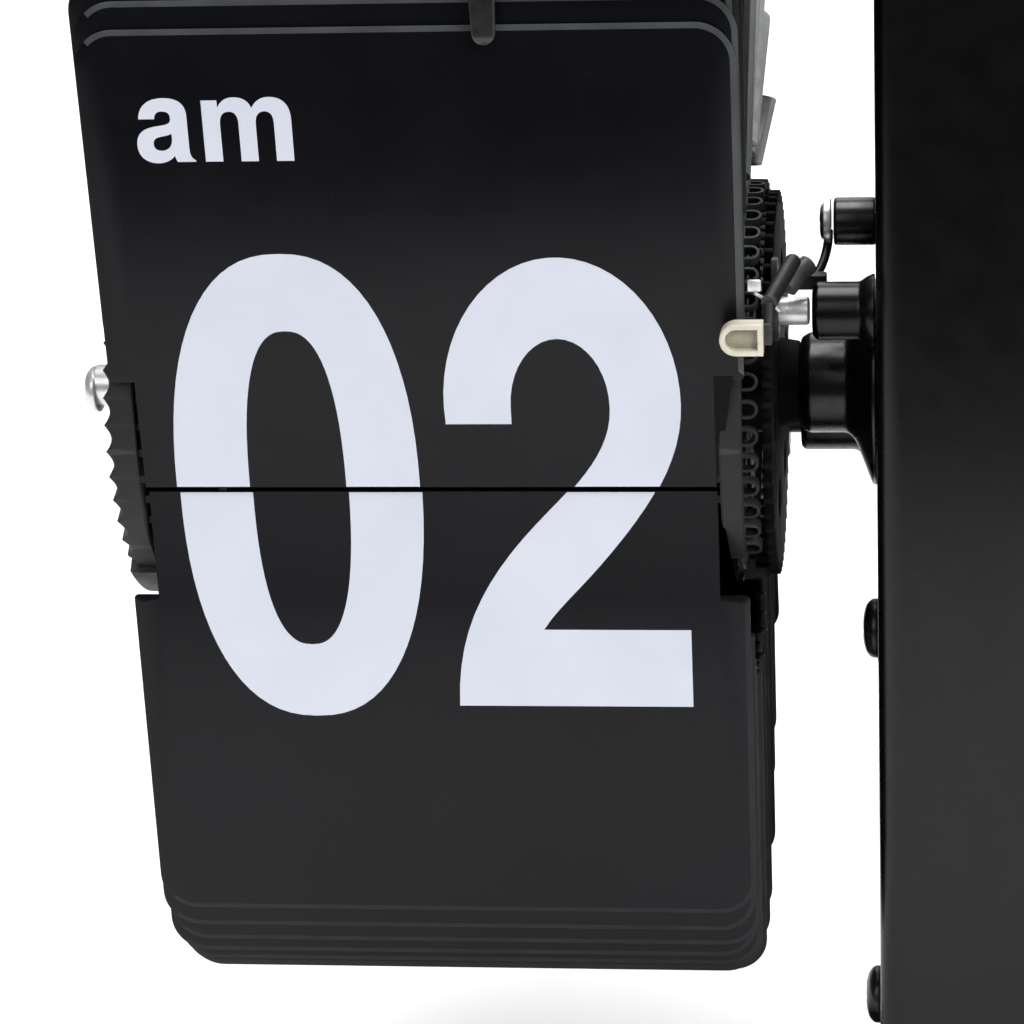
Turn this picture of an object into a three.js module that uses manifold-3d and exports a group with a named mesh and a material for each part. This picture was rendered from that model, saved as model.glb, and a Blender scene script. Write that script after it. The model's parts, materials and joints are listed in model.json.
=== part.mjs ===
// Caseless flip number clock. A central post on a base plate carries two drums of number
// leaves: the hour drum on the left and the minute drum, its mirror image, on the right.
//
// Millimetres. X runs along the drums (longest way), -Y is the front, +Z is up.
// The origin is the centre of the base pad's underside.
// "Unit" coordinates are those of one drum: u = 0 at its middle, u grows towards the post,
// y and z are counted from the drum's axle.
import * as THREE from 'three';
import { mergeVertices } from 'three/addons/utils/BufferGeometryUtils.js';
import Module from 'manifold-3d';

const wasm = await Module();
wasm.setup();

// ---- driving dimensions -------------------------------------------------------------
const GAP = 0.3; // between pieces that touch in the real clock

const AXLE_HEIGHT = 105;
const AXLE_RADIUS = 2.3;
const BORE_RADIUS = 2.65;

const BASE = { width: 96, depth: 54, corner: 9, bottom: 1.8, top: 8.0 };
const BASE_PAD = { inset: 3, thickness: 1.5 };

const POST = { width: 34, front: -24, back: 26, top: 156, wall: 1.5, corner: 3 };
const CAP_THICKNESS = 2;
const COVER_THICKNESS = 1.5;
const DOOR = { top: 77, gapAbove: 0.8, gapBelow: 1, lipWidth: 16, lipTop: 1.5, lipBottom: 4, lipReach: 1.8 };
const SIDE_SCREW = { radius: 3.4, rimHeight: 1.2, height: 2.1, upper: 75.5, lower: 28.3 };

const LEAF = {
  width: 67, // across the number face
  length: 50, // hinge edge to tip
  thickness: 0.4,
  corner: 4.1,
  tail: 0.95, // from the pin to the hinge edge
  hingeWidth: 61, // narrow part between the drum's cheeks
  notch: 12, // how far the narrow part reaches from the hinge edge
  ear: { reach: 0.35, half: 0.5 }, // the pins, short ears at both ends of the pin line
};
const POCKET_CIRCLE = 21.6; // radius of the circle that the leaf pins sit on
const RIM_RADIUS = 22.6;
const HOUR_POCKETS = 48;
const MINUTE_POCKETS = 60;

// stations along a drum, in unit coordinates; a cheek's are counted from the drum's middle,
// which lies a little further from the post than the middle of the leaves
const DRUM_MIDDLE = -0.65;
const CHEEK = { inner: 31.3, web: 32.9, rim: 33.7, outer: 35.1, hubEnd: 35.45 };
const CHEEK_BAND = 2.2; // depth of the rim band
const POCKET_LOOP = { height: 1.25, share: 0.62 };
const DRUM_HUB_RADIUS = 5.5;
const DRUM_CORE_RADIUS = 7;
const GEAR = { inner: 35.1, outer: 36.1, teeth: 60, module: 0.69 };
const PINION_TEETH = 12;
const POST_FACE = 47.1; // the post's side wall
const UNIT_CENTRE = POST.width / 2 + POST_FACE;
const AXLE_END = 41.2; // far end of an axle, away from the post

// Where a leaf's pins sit: the angle of its pocket (0 at the front, level with the axle,
// growing up and over to the back), how far the pins are pushed forward in the pocket, and
// how far the leaf leans back from standing straight up (180 hangs straight down).
const HINGE = {
  top: { angle: -8.5, forward: 0.64, lean: -3 },
  waiting: { angle: -1, forward: -0.1, lean: -3 },
  standing: { angle: 21.5, forward: 0, lean: 0 },
  bottom: { angle: -16, forward: 0, lean: 180 },
  rearUpper: { angle: 97, forward: 0, lean: 97 },
  rearLower: { angle: 172, forward: 0, lean: 172 },
};

const BOSS = { start: 38.4, radius: 5.9, flareStart: 43.5, flareRadius: 11.6 };
const AXLE_SCREW = { radius: 2.65, rimHeight: 1.1, height: 1.7, crown: 1.6, slot: 0.7 };
const CATCH_PIVOT = { y: -11, z: 11.7 };
const CATCH = {
  pinRadius: 1.5,
  sleeveRadius: 3.1,
  sleeveStart: 40.2,
  hubRadius: 3.2,
  armInner: 36.4,
  armOuter: 37,
  armHalf: 1.4,
  reach: -14.4,
  tail: { front: 3.6, back: 5.2, bottom: 1.2, top: 2.8, end: 41.6 },
  tip: { x: 33.5, height: 1.7, width: 4.5, tall: 3.4, thickness: 1.8, corner: 1.65 },
};
const SPRING_ROD = { y: 0, z: 18.4, radius: 2.6, start: 42.2 };
const BLADE = { start: 41.1, end: 41.9, eyeRadius: 2.5, foot: { y: -4.8, z: 12.6 }, thickness: 0.4 };
const FINGER_ARM = { start: 6.4, front: -27.5, back: -15, bottom: 50.2, top: 53.0, thickness: 1 };
const FINGER = { left: 6.6, right: 10, middle: 8.3, tipRadius: 1.2, tip: 44.1, thickness: 0.8 };
const KNOB = { reach: 11, gripLength: 5, gripRadius: 9, stemRadius: 5, ribs: 20 };

const LAYSHAFT = { angle: -28, radius: 1.9 }; // below the axle, at the back
const GEARBOX = { halfWidth: 14.4, front: -13, back: 25.5, bottom: 80, top: 131 };
const MOTOR = { y: 6, radius: 13, height: 11.7 };
const CELL = { y: 5, radius: 13, bottom: 12, shoulder: 61, top: 63, buttonRadius: 3 };
const CONTACT = { half: 12, thickness: 0.8, clearance: 0.4, springRadius: 4, springTop: 11.6 };

// ---- looks --------------------------------------------------------------------------
const look = (colour, roughness, metalness) => ({ color: colour, roughness, metalness });
const BLACK_PAINT = look(0x2a2b2f, 0.55, 0.2);
const LEAF_BLACK = look(0x1d1c22, 0.4, 0);
const DRUM_PLASTIC = look(0x3c3e42, 0.5, 0);
const GEAR_PLASTIC = look(0x101114, 0.45, 0);
const CREAM_PLASTIC = look(0xe3ddc9, 0.45, 0);
const STEEL = look(0xb9bcc0, 0.28, 1);
const BLACKENED_STEEL = look(0x2b2c30, 0.35, 0.8);
const RUBBER = look(0x1b1b1c, 0.9, 0);
const MOVEMENT_PLASTIC = look(0xd8d8d2, 0.5, 0);
const CELL_JACKET = look(0x6f7478, 0.35, 0.4);

// ---- solids -------------------------------------------------------------------------
function toSolid(geometry) {
  const bare = geometry.index ? geometry.clone() : geometry;
  bare.deleteAttribute('normal');
  bare.deleteAttribute('uv');
  const merged = mergeVertices(bare, 1e-4);
  return new wasm.Manifold(new wasm.Mesh({
    numProp: 3,
    vertProperties: new Float32Array(merged.attributes.position.array),
    triVerts: new Uint32Array(merged.index.array),
  }));
}

function toGeometry(solid) {
  const mesh = solid.getMesh();
  const geometry = new THREE.BufferGeometry();
  const corners = new Float32Array(mesh.vertProperties);
  geometry.setAttribute('position', new THREE.BufferAttribute(corners, mesh.numProp));
  geometry.setIndex(new THREE.BufferAttribute(new Uint32Array(mesh.triVerts), 1));
  geometry.computeVertexNormals();
  return geometry;
}

const join = (...geometries) => toGeometry(
  geometries.map(toSolid).reduce((whole, piece) => whole.add(piece)),
);

const cut = (geometry, ...tools) => toGeometry(
  tools.map(toSolid).reduce((whole, tool) => whole.subtract(tool), toSolid(geometry)),
);

// a shape drawn in (y, z), extruded along X from one station to another
const SHAPE_YZ_TO_WORLD = new THREE.Matrix4().makeBasis(
  new THREE.Vector3(0, 1, 0),
  new THREE.Vector3(0, 0, 1),
  new THREE.Vector3(1, 0, 0),
);
function prismX(shape, from, to, curveSegments = 6) {
  const depth = to - from;
  const geometry = new THREE.ExtrudeGeometry(shape, { depth, bevelEnabled: false, curveSegments });
  return geometry.applyMatrix4(SHAPE_YZ_TO_WORLD).translate(from, 0, 0);
}

// a shape drawn in (x, y), extruded up Z
function prismZ(shape, from, to, curveSegments = 4) {
  const depth = to - from;
  const geometry = new THREE.ExtrudeGeometry(shape, { depth, bevelEnabled: false, curveSegments });
  return geometry.translate(0, 0, from);
}

// a profile of [station, radius] pairs turned about the X axis
function turnedX(profile, segments = 24) {
  const points = profile.map(([station, radius]) => new THREE.Vector2(radius, station));
  return new THREE.LatheGeometry(points, segments).rotateZ(-Math.PI / 2);
}

// a profile of [radius, height] pairs turned about the Z axis
function turnedZ(profile, segments = 24) {
  const points = profile.map(([radius, height]) => new THREE.Vector2(radius, height));
  return new THREE.LatheGeometry(points, segments).rotateX(Math.PI / 2);
}

const rodX = (radius, from, to, segments = 20) => turnedX(
  [[from, 0], [from, radius], [to, radius], [to, 0]],
  segments,
);

function box(low, high) {
  const size = high.map((value, i) => value - low[i]);
  const middle = high.map((value, i) => (value + low[i]) / 2);
  return new THREE.BoxGeometry(...size).translate(...middle);
}

function roundedRectangle(xLow, xHigh, yLow, yHigh, radius) {
  const shape = new THREE.Shape();
  shape.moveTo(xLow + radius, yLow);
  shape.lineTo(xHigh - radius, yLow);
  shape.absarc(xHigh - radius, yLow + radius, radius, -Math.PI / 2, 0);
  shape.lineTo(xHigh, yHigh - radius);
  shape.absarc(xHigh - radius, yHigh - radius, radius, 0, Math.PI / 2);
  shape.lineTo(xLow + radius, yHigh);
  shape.absarc(xLow + radius, yHigh - radius, radius, Math.PI / 2, Math.PI);
  shape.lineTo(xLow, yLow + radius);
  shape.absarc(xLow + radius, yLow + radius, radius, Math.PI, 1.5 * Math.PI);
  return shape;
}

// a wheel outline with trapezoid teeth, drawn round the axle
function toothedOutline(teeth, rootRadius, tipRadius, rootShare, tipShare, phase = 0) {
  const shape = new THREE.Shape();
  const pitch = (2 * Math.PI) / teeth;
  for (let i = 0; i < teeth; i += 1) {
    const middle = phase + i * pitch;
    const corners = [
      [rootRadius, middle - (rootShare * pitch) / 2],
      [tipRadius, middle - (tipShare * pitch) / 2],
      [tipRadius, middle + (tipShare * pitch) / 2],
      [rootRadius, middle + (rootShare * pitch) / 2],
    ];
    corners.forEach(([radius, angle], corner) => {
      const y = radius * Math.cos(angle);
      const z = radius * Math.sin(angle);
      if (i === 0 && corner === 0) shape.moveTo(y, z);
      else shape.lineTo(y, z);
    });
  }
  shape.closePath();
  return shape;
}

function circleHole(radius) {
  return new THREE.Path().absarc(0, 0, radius, 0, 2 * Math.PI, true);
}

// ---- scene helpers ------------------------------------------------------------------
const clock = new THREE.Group();

function add(parent, name, geometry, material) {
  const mesh = new THREE.Mesh(geometry, new THREE.MeshStandardMaterial(material));
  mesh.name = name;
  parent.add(mesh);
  return mesh;
}

// ---- base ---------------------------------------------------------------------------
function buildBase() {
  const { width, depth, corner, bottom, top } = BASE;
  const plate = roundedRectangle(-width / 2, width / 2, -depth / 2, depth / 2, corner);
  add(clock, 'base_plate', prismZ(plate, bottom, top), BLACK_PAINT);

  const x = width / 2 - BASE_PAD.inset;
  const y = depth / 2 - BASE_PAD.inset;
  const pad = roundedRectangle(-x, x, -y, y, corner - BASE_PAD.inset);
  add(clock, 'base_pad', prismZ(pad, 0, BASE_PAD.thickness), RUBBER);
}

// ---- post ---------------------------------------------------------------------------
// The post's front and sides are one folded sheet, open at the back, standing on the base.
function postSheet() {
  const { width, front, back, wall, corner } = POST;
  const outer = width / 2;
  const inner = outer - wall;
  const foldX = outer - corner;
  const foldY = front + corner;
  const quarter = Math.PI / 2;
  const shape = new THREE.Shape();
  shape.moveTo(outer, back);
  shape.lineTo(inner, back);
  shape.lineTo(inner, foldY);
  shape.absarc(foldX, foldY, corner - wall, 0, -quarter, true);
  shape.lineTo(-foldX, front + wall);
  shape.absarc(-foldX, foldY, corner - wall, -quarter, -2 * quarter, true);
  shape.lineTo(-inner, back);
  shape.lineTo(-outer, back);
  shape.lineTo(-outer, foldY);
  shape.absarc(-foldX, foldY, corner, 2 * quarter, 3 * quarter);
  shape.lineTo(foldX, front);
  shape.absarc(foldX, foldY, corner, -quarter, 0);
  shape.closePath();
  return prismZ(shape, BASE.top + GAP, POST.top);
}

function layshaftCentre() {
  const pitchDistance = (GEAR.module * (GEAR.teeth + PINION_TEETH)) / 2;
  const angle = THREE.MathUtils.degToRad(LAYSHAFT.angle);
  return { y: pitchDistance * Math.cos(angle), z: pitchDistance * Math.sin(angle) };
}

function buildPost() {
  const across = [-POST.width / 2 - 1, POST.width / 2 + 1];
  const layshaft = layshaftCentre();
  const holeClearance = 0.4;
  const axleHole = rodX(AXLE_RADIUS + holeClearance, ...across);
  const layshaftHole = rodX(LAYSHAFT.radius + holeClearance, ...across);
  axleHole.translate(0, 0, AXLE_HEIGHT);
  layshaftHole.translate(0, layshaft.y, AXLE_HEIGHT + layshaft.z);
  add(clock, 'post_shell', cut(postSheet(), axleHole, layshaftHole), BLACK_PAINT);

  const half = POST.width / 2;
  const coverBack = POST.back + GAP + COVER_THICKNESS;
  const cap = roundedRectangle(-half, half, POST.front, coverBack, POST.corner);
  const capBottom = POST.top + GAP;
  add(clock, 'post_top_cap', prismZ(cap, capBottom, capBottom + CAP_THICKNESS), BLACK_PAINT);

  const coverBottom = DOOR.top + DOOR.gapAbove;
  const cover = box([-half, POST.back + GAP, coverBottom], [half, coverBack, POST.top]);
  add(clock, 'post_back_cover', cover, BLACK_PAINT);

  // the battery door is hinged along its lower edge, just above the base
  const doorBottom = BASE.top + DOOR.gapBelow;
  const doorPanel = box([-half, POST.back + GAP, doorBottom], [half, coverBack, DOOR.top]);
  const doorLip = box(
    [-DOOR.lipWidth / 2, coverBack - COVER_THICKNESS / 3, DOOR.top - DOOR.lipBottom],
    [DOOR.lipWidth / 2, coverBack + DOOR.lipReach, DOOR.top - DOOR.lipTop],
  );
  add(clock, 'battery_door', join(doorPanel, doorLip), BLACK_PAINT);

  const { radius, rimHeight, height } = SIDE_SCREW;
  const head = turnedX([
    [GAP, 0],
    [GAP, radius],
    [rimHeight, radius],
    [0.85 * height, 0.85 * radius],
    [height, 0.5 * radius],
    [height, 0],
  ], 18);
  for (const [side, sign] of [['left', -1], ['right', 1]]) {
    for (const level of ['upper', 'lower']) {
      const screw = add(clock, `${side}_side_screw_${level}`, head.clone(), BLACKENED_STEEL);
      screw.position.set(sign * half, 0, SIDE_SCREW[level]);
      screw.rotation.z = sign > 0 ? 0 : Math.PI;
    }
  }
}

// ---- movement, inside the post ------------------------------------------------------
function buildMovement() {
  const { halfWidth, front, back, bottom, top } = GEARBOX;
  const gearbox = box([-halfWidth, front, bottom], [halfWidth, back, top]);
  add(clock, 'movement_gearbox', gearbox, MOVEMENT_PLASTIC);

  const motorBottom = top + GAP;
  const motorTop = motorBottom + MOTOR.height;
  const motor = turnedZ([
    [0, motorBottom],
    [MOTOR.radius - 0.5, motorBottom],
    [MOTOR.radius, motorBottom + 0.5],
    [MOTOR.radius, motorTop - 1],
    [MOTOR.radius - 1, motorTop],
    [0, motorTop],
  ]);
  add(clock, 'movement_motor', motor, STEEL).position.set(0, MOTOR.y, 0);

  const cell = turnedZ([
    [0, CELL.bottom],
    [CELL.radius, CELL.bottom],
    [CELL.radius, CELL.shoulder],
    [CELL.buttonRadius, CELL.shoulder],
    [CELL.buttonRadius, CELL.top],
    [0, CELL.top],
  ]);
  add(clock, 'battery_cell', cell, CELL_JACKET).position.set(0, CELL.y, 0);

  const { half, thickness, clearance, springRadius, springTop } = CONTACT;
  const contact = (low) => box(
    [-half, CELL.y - half, low],
    [half, CELL.y + half, low + thickness],
  );
  const lowerContactBottom = BASE.top + DOOR.gapBelow;
  const lowerContactTop = lowerContactBottom + thickness;
  const lowerSpring = turnedZ([
    [0, lowerContactTop - 0.2],
    [springRadius, lowerContactTop - 0.2],
    [0.6 * springRadius, springTop],
    [0, springTop],
  ]).translate(0, CELL.y, 0);
  add(clock, 'battery_lower_contact', join(contact(lowerContactBottom), lowerSpring), STEEL);
  add(clock, 'battery_upper_contact', contact(CELL.top + clearance), STEEL);
}

// ---- drums --------------------------------------------------------------------------
function cheekGeometry(pockets) {
  const bandInside = RIM_RADIUS - CHEEK_BAND;
  const body = turnedX([
    [CHEEK.inner, BORE_RADIUS],
    [CHEEK.inner, RIM_RADIUS],
    [CHEEK.rim, RIM_RADIUS],
    [CHEEK.rim, bandInside],
    [CHEEK.web, bandInside],
    [CHEEK.web, DRUM_HUB_RADIUS],
    [CHEEK.hubEnd, DRUM_HUB_RADIUS],
    [CHEEK.hubEnd, BORE_RADIUS],
    [CHEEK.inner, BORE_RADIUS],
  ], 40);
  // the pin pockets stand out of the band as a ring of small loops
  const { height, share } = POCKET_LOOP;
  const overlap = 0.05;
  const loopTop = RIM_RADIUS - overlap;
  const loops = toothedOutline(pockets, loopTop - height, loopTop, share, share);
  loops.holes.push(circleHole(bandInside + overlap));
  return join(body, prismX(loops, CHEEK.rim - 0.4, CHEEK.outer, 24));
}

function gearGeometry() {
  const pitchRadius = (GEAR.teeth * GEAR.module) / 2;
  const outline = toothedOutline(
    GEAR.teeth,
    pitchRadius - 1.1 * GEAR.module,
    pitchRadius + 0.8 * GEAR.module,
    0.56,
    0.24,
  );
  outline.holes.push(circleHole(BORE_RADIUS));
  return prismX(outline, GEAR.inner, GEAR.outer, 6);
}

function pinionGeometry() {
  const pitchRadius = (PINION_TEETH * GEAR.module) / 2;
  // a tooth gap of the pinion faces a tooth of the drum gear
  const contact = THREE.MathUtils.degToRad(LAYSHAFT.angle + 180);
  const gearPitch = (2 * Math.PI) / GEAR.teeth;
  const toothAngle = THREE.MathUtils.degToRad(LAYSHAFT.angle);
  const offset = toothAngle - Math.round(toothAngle / gearPitch) * gearPitch;
  const phase = contact + Math.PI / PINION_TEETH + (offset * GEAR.teeth) / PINION_TEETH;
  const outline = toothedOutline(
    PINION_TEETH,
    pitchRadius - 1.15 * GEAR.module,
    pitchRadius + 0.75 * GEAR.module,
    0.5,
    0.2,
    phase,
  );
  const shaftEnd = UNIT_CENTRE - GEARBOX.halfWidth - GAP;
  const shaft = rodX(LAYSHAFT.radius, GEAR.outer - 0.5, shaftEnd, 16);
  return join(prismX(outline, GEAR.inner + 0.1, GEAR.outer - 0.1, 1), shaft);
}

// ---- leaves -------------------------------------------------------------------------
// A leaf stands on its pin line: u across, v up from the pins.
function leafGeometry() {
  const { width, length, thickness, corner, tail, hingeWidth, notch, ear } = LEAF;
  const side = width / 2;
  const hingeLeft = DRUM_MIDDLE - hingeWidth / 2;
  const hingeRight = DRUM_MIDDLE + hingeWidth / 2;
  const tip = length - tail;
  const shoulder = notch - tail;
  const shape = new THREE.Shape();
  shape.moveTo(hingeLeft, -tail);
  shape.lineTo(hingeRight, -tail);
  shape.lineTo(hingeRight, -ear.half);
  shape.lineTo(hingeRight + ear.reach, -ear.half);
  shape.lineTo(hingeRight + ear.reach, ear.half);
  shape.lineTo(hingeRight, ear.half);
  shape.lineTo(hingeRight, shoulder);
  shape.lineTo(side, shoulder);
  shape.lineTo(side, tip - corner);
  shape.absarc(side - corner, tip - corner, corner, 0, Math.PI / 2);
  shape.lineTo(-side + corner, tip);
  shape.absarc(-side + corner, tip - corner, corner, Math.PI / 2, Math.PI);
  shape.lineTo(-side, shoulder);
  shape.lineTo(hingeLeft, shoulder);
  shape.lineTo(hingeLeft, ear.half);
  shape.lineTo(hingeLeft - ear.reach, ear.half);
  shape.lineTo(hingeLeft - ear.reach, -ear.half);
  shape.lineTo(hingeLeft, -ear.half);
  shape.closePath();
  return prismZ(shape, -thickness / 2, thickness / 2, 4).rotateX(Math.PI / 2);
}

function placeLeaf(unit, name, { angle, forward, lean }) {
  const turn = THREE.MathUtils.degToRad(angle);
  const leaf = add(unit, name, leafGeometry(), LEAF_BLACK);
  leaf.position.y = -POCKET_CIRCLE * Math.cos(turn) - forward;
  leaf.position.z = POCKET_CIRCLE * Math.sin(turn);
  leaf.rotation.x = -THREE.MathUtils.degToRad(lean);
}

function buildLeaves(unit, name) {
  placeLeaf(unit, `${name}_top_leaf`, HINGE.top);
  placeLeaf(unit, `${name}_waiting_leaf`, HINGE.waiting);
  placeLeaf(unit, `${name}_standing_leaf`, HINGE.standing);
  placeLeaf(unit, `${name}_bottom_leaf`, HINGE.bottom);
  placeLeaf(unit, `${name}_rear_upper_leaf`, HINGE.rearUpper);
  placeLeaf(unit, `${name}_rear_lower_leaf`, HINGE.rearLower);
}

// ---- what holds a drum and its leaves -----------------------------------------------
function buildAxle(unit, name) {
  const insideEnd = UNIT_CENTRE - GEARBOX.halfWidth - GAP;
  add(unit, `${name}_axle`, rodX(AXLE_RADIUS, -AXLE_END, insideEnd, 24), STEEL);

  // the boss fills the space between the drum gear and the post and flares at the post
  const bore = AXLE_RADIUS + GAP;
  const end = POST_FACE - GAP;
  const { start, radius, flareStart, flareRadius } = BOSS;
  const flareLength = end - flareStart;
  const flareHeight = flareRadius - radius;
  const boss = turnedX([
    [start, bore],
    [start, radius],
    [flareStart, radius],
    [flareStart + 0.33 * flareLength, radius + 0.19 * flareHeight],
    [flareStart + 0.64 * flareLength, radius + 0.56 * flareHeight],
    [end, flareRadius],
    [end, bore],
    [start, bore],
  ], 28);
  add(unit, `${name}_axle_boss`, boss, BLACK_PAINT);
}

function buildAxleScrew(unit, name) {
  const { radius, rimHeight, height, crown, slot } = AXLE_SCREW;
  const face = -AXLE_END - GAP;
  const head = turnedX([
    [face - height, 0],
    [face - height, crown],
    [face - rimHeight, radius],
    [face, radius],
    [face, 0],
  ]);
  const cutter = box([face - height - 1, -radius - 1, -slot / 2], [face - 1, radius + 1, slot / 2]);
  add(unit, `${name}_axle_screw`, cut(head, cutter), STEEL);
}

function buildCatch(unit, name) {
  const pivot = new THREE.Group();
  pivot.position.set(0, CATCH_PIVOT.y, CATCH_PIVOT.z);
  unit.add(pivot);

  const { pinRadius, sleeveRadius, sleeveStart, hubRadius, reach, tip } = CATCH;
  const { armInner, armOuter, armHalf, tail } = CATCH;
  const sleeve = rodX(sleeveRadius, sleeveStart, POST_FACE - GAP);
  add(pivot, `${name}_catch_pin`, rodX(pinRadius, armInner, sleeveStart - GAP, 18), STEEL);
  add(pivot, `${name}_catch_sleeve`, sleeve, BLACK_PAINT);

  // the lever turns on the pin; its front end bends over the edge of the top leaf
  const armBottom = tip.height - armHalf;
  const armTop = tip.height + armHalf;
  const arm = new THREE.Shape();
  arm.moveTo(reach, armBottom);
  arm.absarc(0, 0, hubRadius, 1.2 * Math.PI, 2 * Math.PI);
  arm.lineTo(tail.back, tail.bottom);
  arm.lineTo(tail.back, tail.top);
  arm.lineTo(0, hubRadius);
  arm.lineTo(reach, armTop);
  arm.closePath();
  arm.holes.push(circleHole(pinRadius + GAP));
  const plate = prismX(arm, armInner, armOuter, 10);
  const tipEdge = tip.x + tip.width / 2;
  const bend = box([tipEdge + GAP, reach - 1, armBottom], [armOuter, reach + 1, armTop]);
  const tailBar = box([armInner, tail.front, tail.bottom], [tail.end, tail.back, tail.top]);
  add(pivot, `${name}_catch_lever`, join(plate, bend, tailBar), GEAR_PLASTIC);

  // a rounded pad on the lever's end rests against the front of the leaf
  const { width, tall, thickness, corner } = tip;
  const outline = roundedRectangle(-width / 2, width / 2, -tall / 2, tall / 2, corner);
  const pad = prismZ(outline, -thickness / 2, thickness / 2, 6).rotateX(Math.PI / 2);
  add(pivot, `${name}_catch_tip`, pad.translate(tip.x, reach - 0.2, tip.height), CREAM_PLASTIC);
}

function buildSpring(unit, name) {
  const { y, z, radius } = SPRING_ROD;
  const rod = rodX(radius, SPRING_ROD.start, POST_FACE - GAP).translate(0, y, z);
  add(unit, `${name}_spring_rod`, rod, BLACK_PAINT);

  // a blade with an eye at the rod's end; its foot bears on the lever's tail from behind
  const { start, end, eyeRadius, foot, thickness } = BLADE;
  const eye = rodX(eyeRadius, start, end).translate(0, y, z);
  const strip = new THREE.Shape();
  strip.moveTo(y - thickness, z);
  strip.lineTo(y, z);
  strip.quadraticCurveTo(y, foot.z + 1, foot.y + thickness, foot.z);
  strip.lineTo(foot.y, foot.z + thickness);
  strip.quadraticCurveTo(y - thickness, foot.z + 1 + thickness, y - thickness, z);
  add(unit, `${name}_blade_spring`, join(eye, prismX(strip, start, end, 8)), STEEL);
}

function buildFinger(unit, name) {
  const { start, front, back, bottom, top, thickness } = FINGER_ARM;
  const end = POST_FACE - GAP;
  const arm = box([start, front, bottom], [end, front + thickness, top]);
  const foot = box([end - thickness, front, bottom], [end, back, top]);
  add(unit, `${name}_finger_arm`, join(arm, foot), BLACKENED_STEEL);

  // a springy finger that keeps the top leaf standing until the drum draws its edge down
  const { left, right, middle, tipRadius, tip } = FINGER;
  const finger = new THREE.Shape();
  finger.moveTo(left, top);
  finger.absarc(middle, tip + tipRadius, tipRadius, Math.PI, 2 * Math.PI);
  finger.lineTo(right, top);
  finger.closePath();
  const depth = FINGER.thickness;
  const strip = new THREE.ExtrudeGeometry(finger, { depth, bevelEnabled: false, curveSegments: 6 });
  strip.rotateX(Math.PI / 2).translate(0, front + thickness + GAP + depth, 0);
  add(unit, `${name}_leaf_finger`, strip, BLACKENED_STEEL);
}

// ---- one complete unit --------------------------------------------------------------
function buildUnit(name, pockets) {
  const unit = new THREE.Group();
  const coreHalf = CHEEK.inner - GAP;
  const core = turnedX([
    [-coreHalf, BORE_RADIUS],
    [-coreHalf, DRUM_CORE_RADIUS],
    [coreHalf, DRUM_CORE_RADIUS],
    [coreHalf, BORE_RADIUS],
    [-coreHalf, BORE_RADIUS],
  ]);
  const drum = new THREE.Group();
  drum.position.x = DRUM_MIDDLE;
  unit.add(drum);
  add(drum, `${name}_drum_core`, core, DRUM_PLASTIC);
  add(drum, `${name}_drum_cheek_post_side`, cheekGeometry(pockets), DRUM_PLASTIC);
  const farCheek = add(drum, `${name}_drum_cheek_far_side`, cheekGeometry(pockets), DRUM_PLASTIC);
  farCheek.rotation.z = Math.PI;
  add(unit, `${name}_drum_gear`, gearGeometry(), GEAR_PLASTIC);

  const layshaft = layshaftCentre();
  const pinion = add(unit, `${name}_drive_pinion`, pinionGeometry(), STEEL);
  pinion.position.set(0, layshaft.y, layshaft.z);

  buildLeaves(unit, name);
  buildAxle(unit, name);
  buildCatch(unit, name);
  buildSpring(unit, name);
  buildFinger(unit, name);
  return unit;
}

// Mirroring a finished unit across the post keeps its meshes facing outwards.
function mirrorX(unit) {
  unit.updateMatrixWorld(true);
  const mirrored = new THREE.Group();
  const flip = new THREE.Matrix4().makeScale(-1, 1, 1);
  const meshes = [];
  unit.traverse((item) => {
    if (item.isMesh) meshes.push(item);
  });
  for (const mesh of meshes) {
    const geometry = mesh.geometry.index ? mesh.geometry.toNonIndexed() : mesh.geometry.clone();
    geometry.applyMatrix4(mesh.matrixWorld).applyMatrix4(flip);
    const position = geometry.attributes.position;
    for (let i = 0; i < position.count; i += 3) {
      const [x, y, z] = [position.getX(i), position.getY(i), position.getZ(i)];
      position.setXYZ(i, position.getX(i + 1), position.getY(i + 1), position.getZ(i + 1));
      position.setXYZ(i + 1, x, y, z);
    }
    geometry.computeVertexNormals();
    const copy = new THREE.Mesh(geometry, mesh.material);
    copy.name = mesh.name;
    mirrored.add(copy);
  }
  return mirrored;
}

function buildKnob(unit, name) {
  // a ribbed knob on the drum's outer cheek turns the numbers by hand
  const { reach, gripLength, gripRadius, stemRadius, ribs } = KNOB;
  const start = DRUM_MIDDLE - CHEEK.hubEnd - GAP;
  const face = start - reach;
  const outline = toothedOutline(ribs, 0.92 * gripRadius, gripRadius, 0.7, 0.4);
  const grip = prismX(outline, face, face + gripLength, 1);
  const stem = rodX(stemRadius, face + gripLength - 1, start, 24);
  const bore = rodX(BORE_RADIUS, face + 2, start + 1);
  add(unit, `${name}_setting_knob`, cut(join(grip, stem), bore), GEAR_PLASTIC);
}

buildBase();
buildPost();
buildMovement();

const hourUnit = buildUnit('hour', HOUR_POCKETS);
buildAxleScrew(hourUnit, 'hour');
hourUnit.position.set(-UNIT_CENTRE, 0, AXLE_HEIGHT);
clock.add(hourUnit);

const minuteUnitUnmirrored = buildUnit('minute', MINUTE_POCKETS);
buildKnob(minuteUnitUnmirrored, 'minute');
const minuteUnit = mirrorX(minuteUnitUnmirrored);
minuteUnit.position.set(UNIT_CENTRE, 0, AXLE_HEIGHT);
clock.add(minuteUnit);

export default clock;
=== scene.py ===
import json
import math

import bmesh
import bpy
from mathutils import Matrix, Vector


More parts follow.
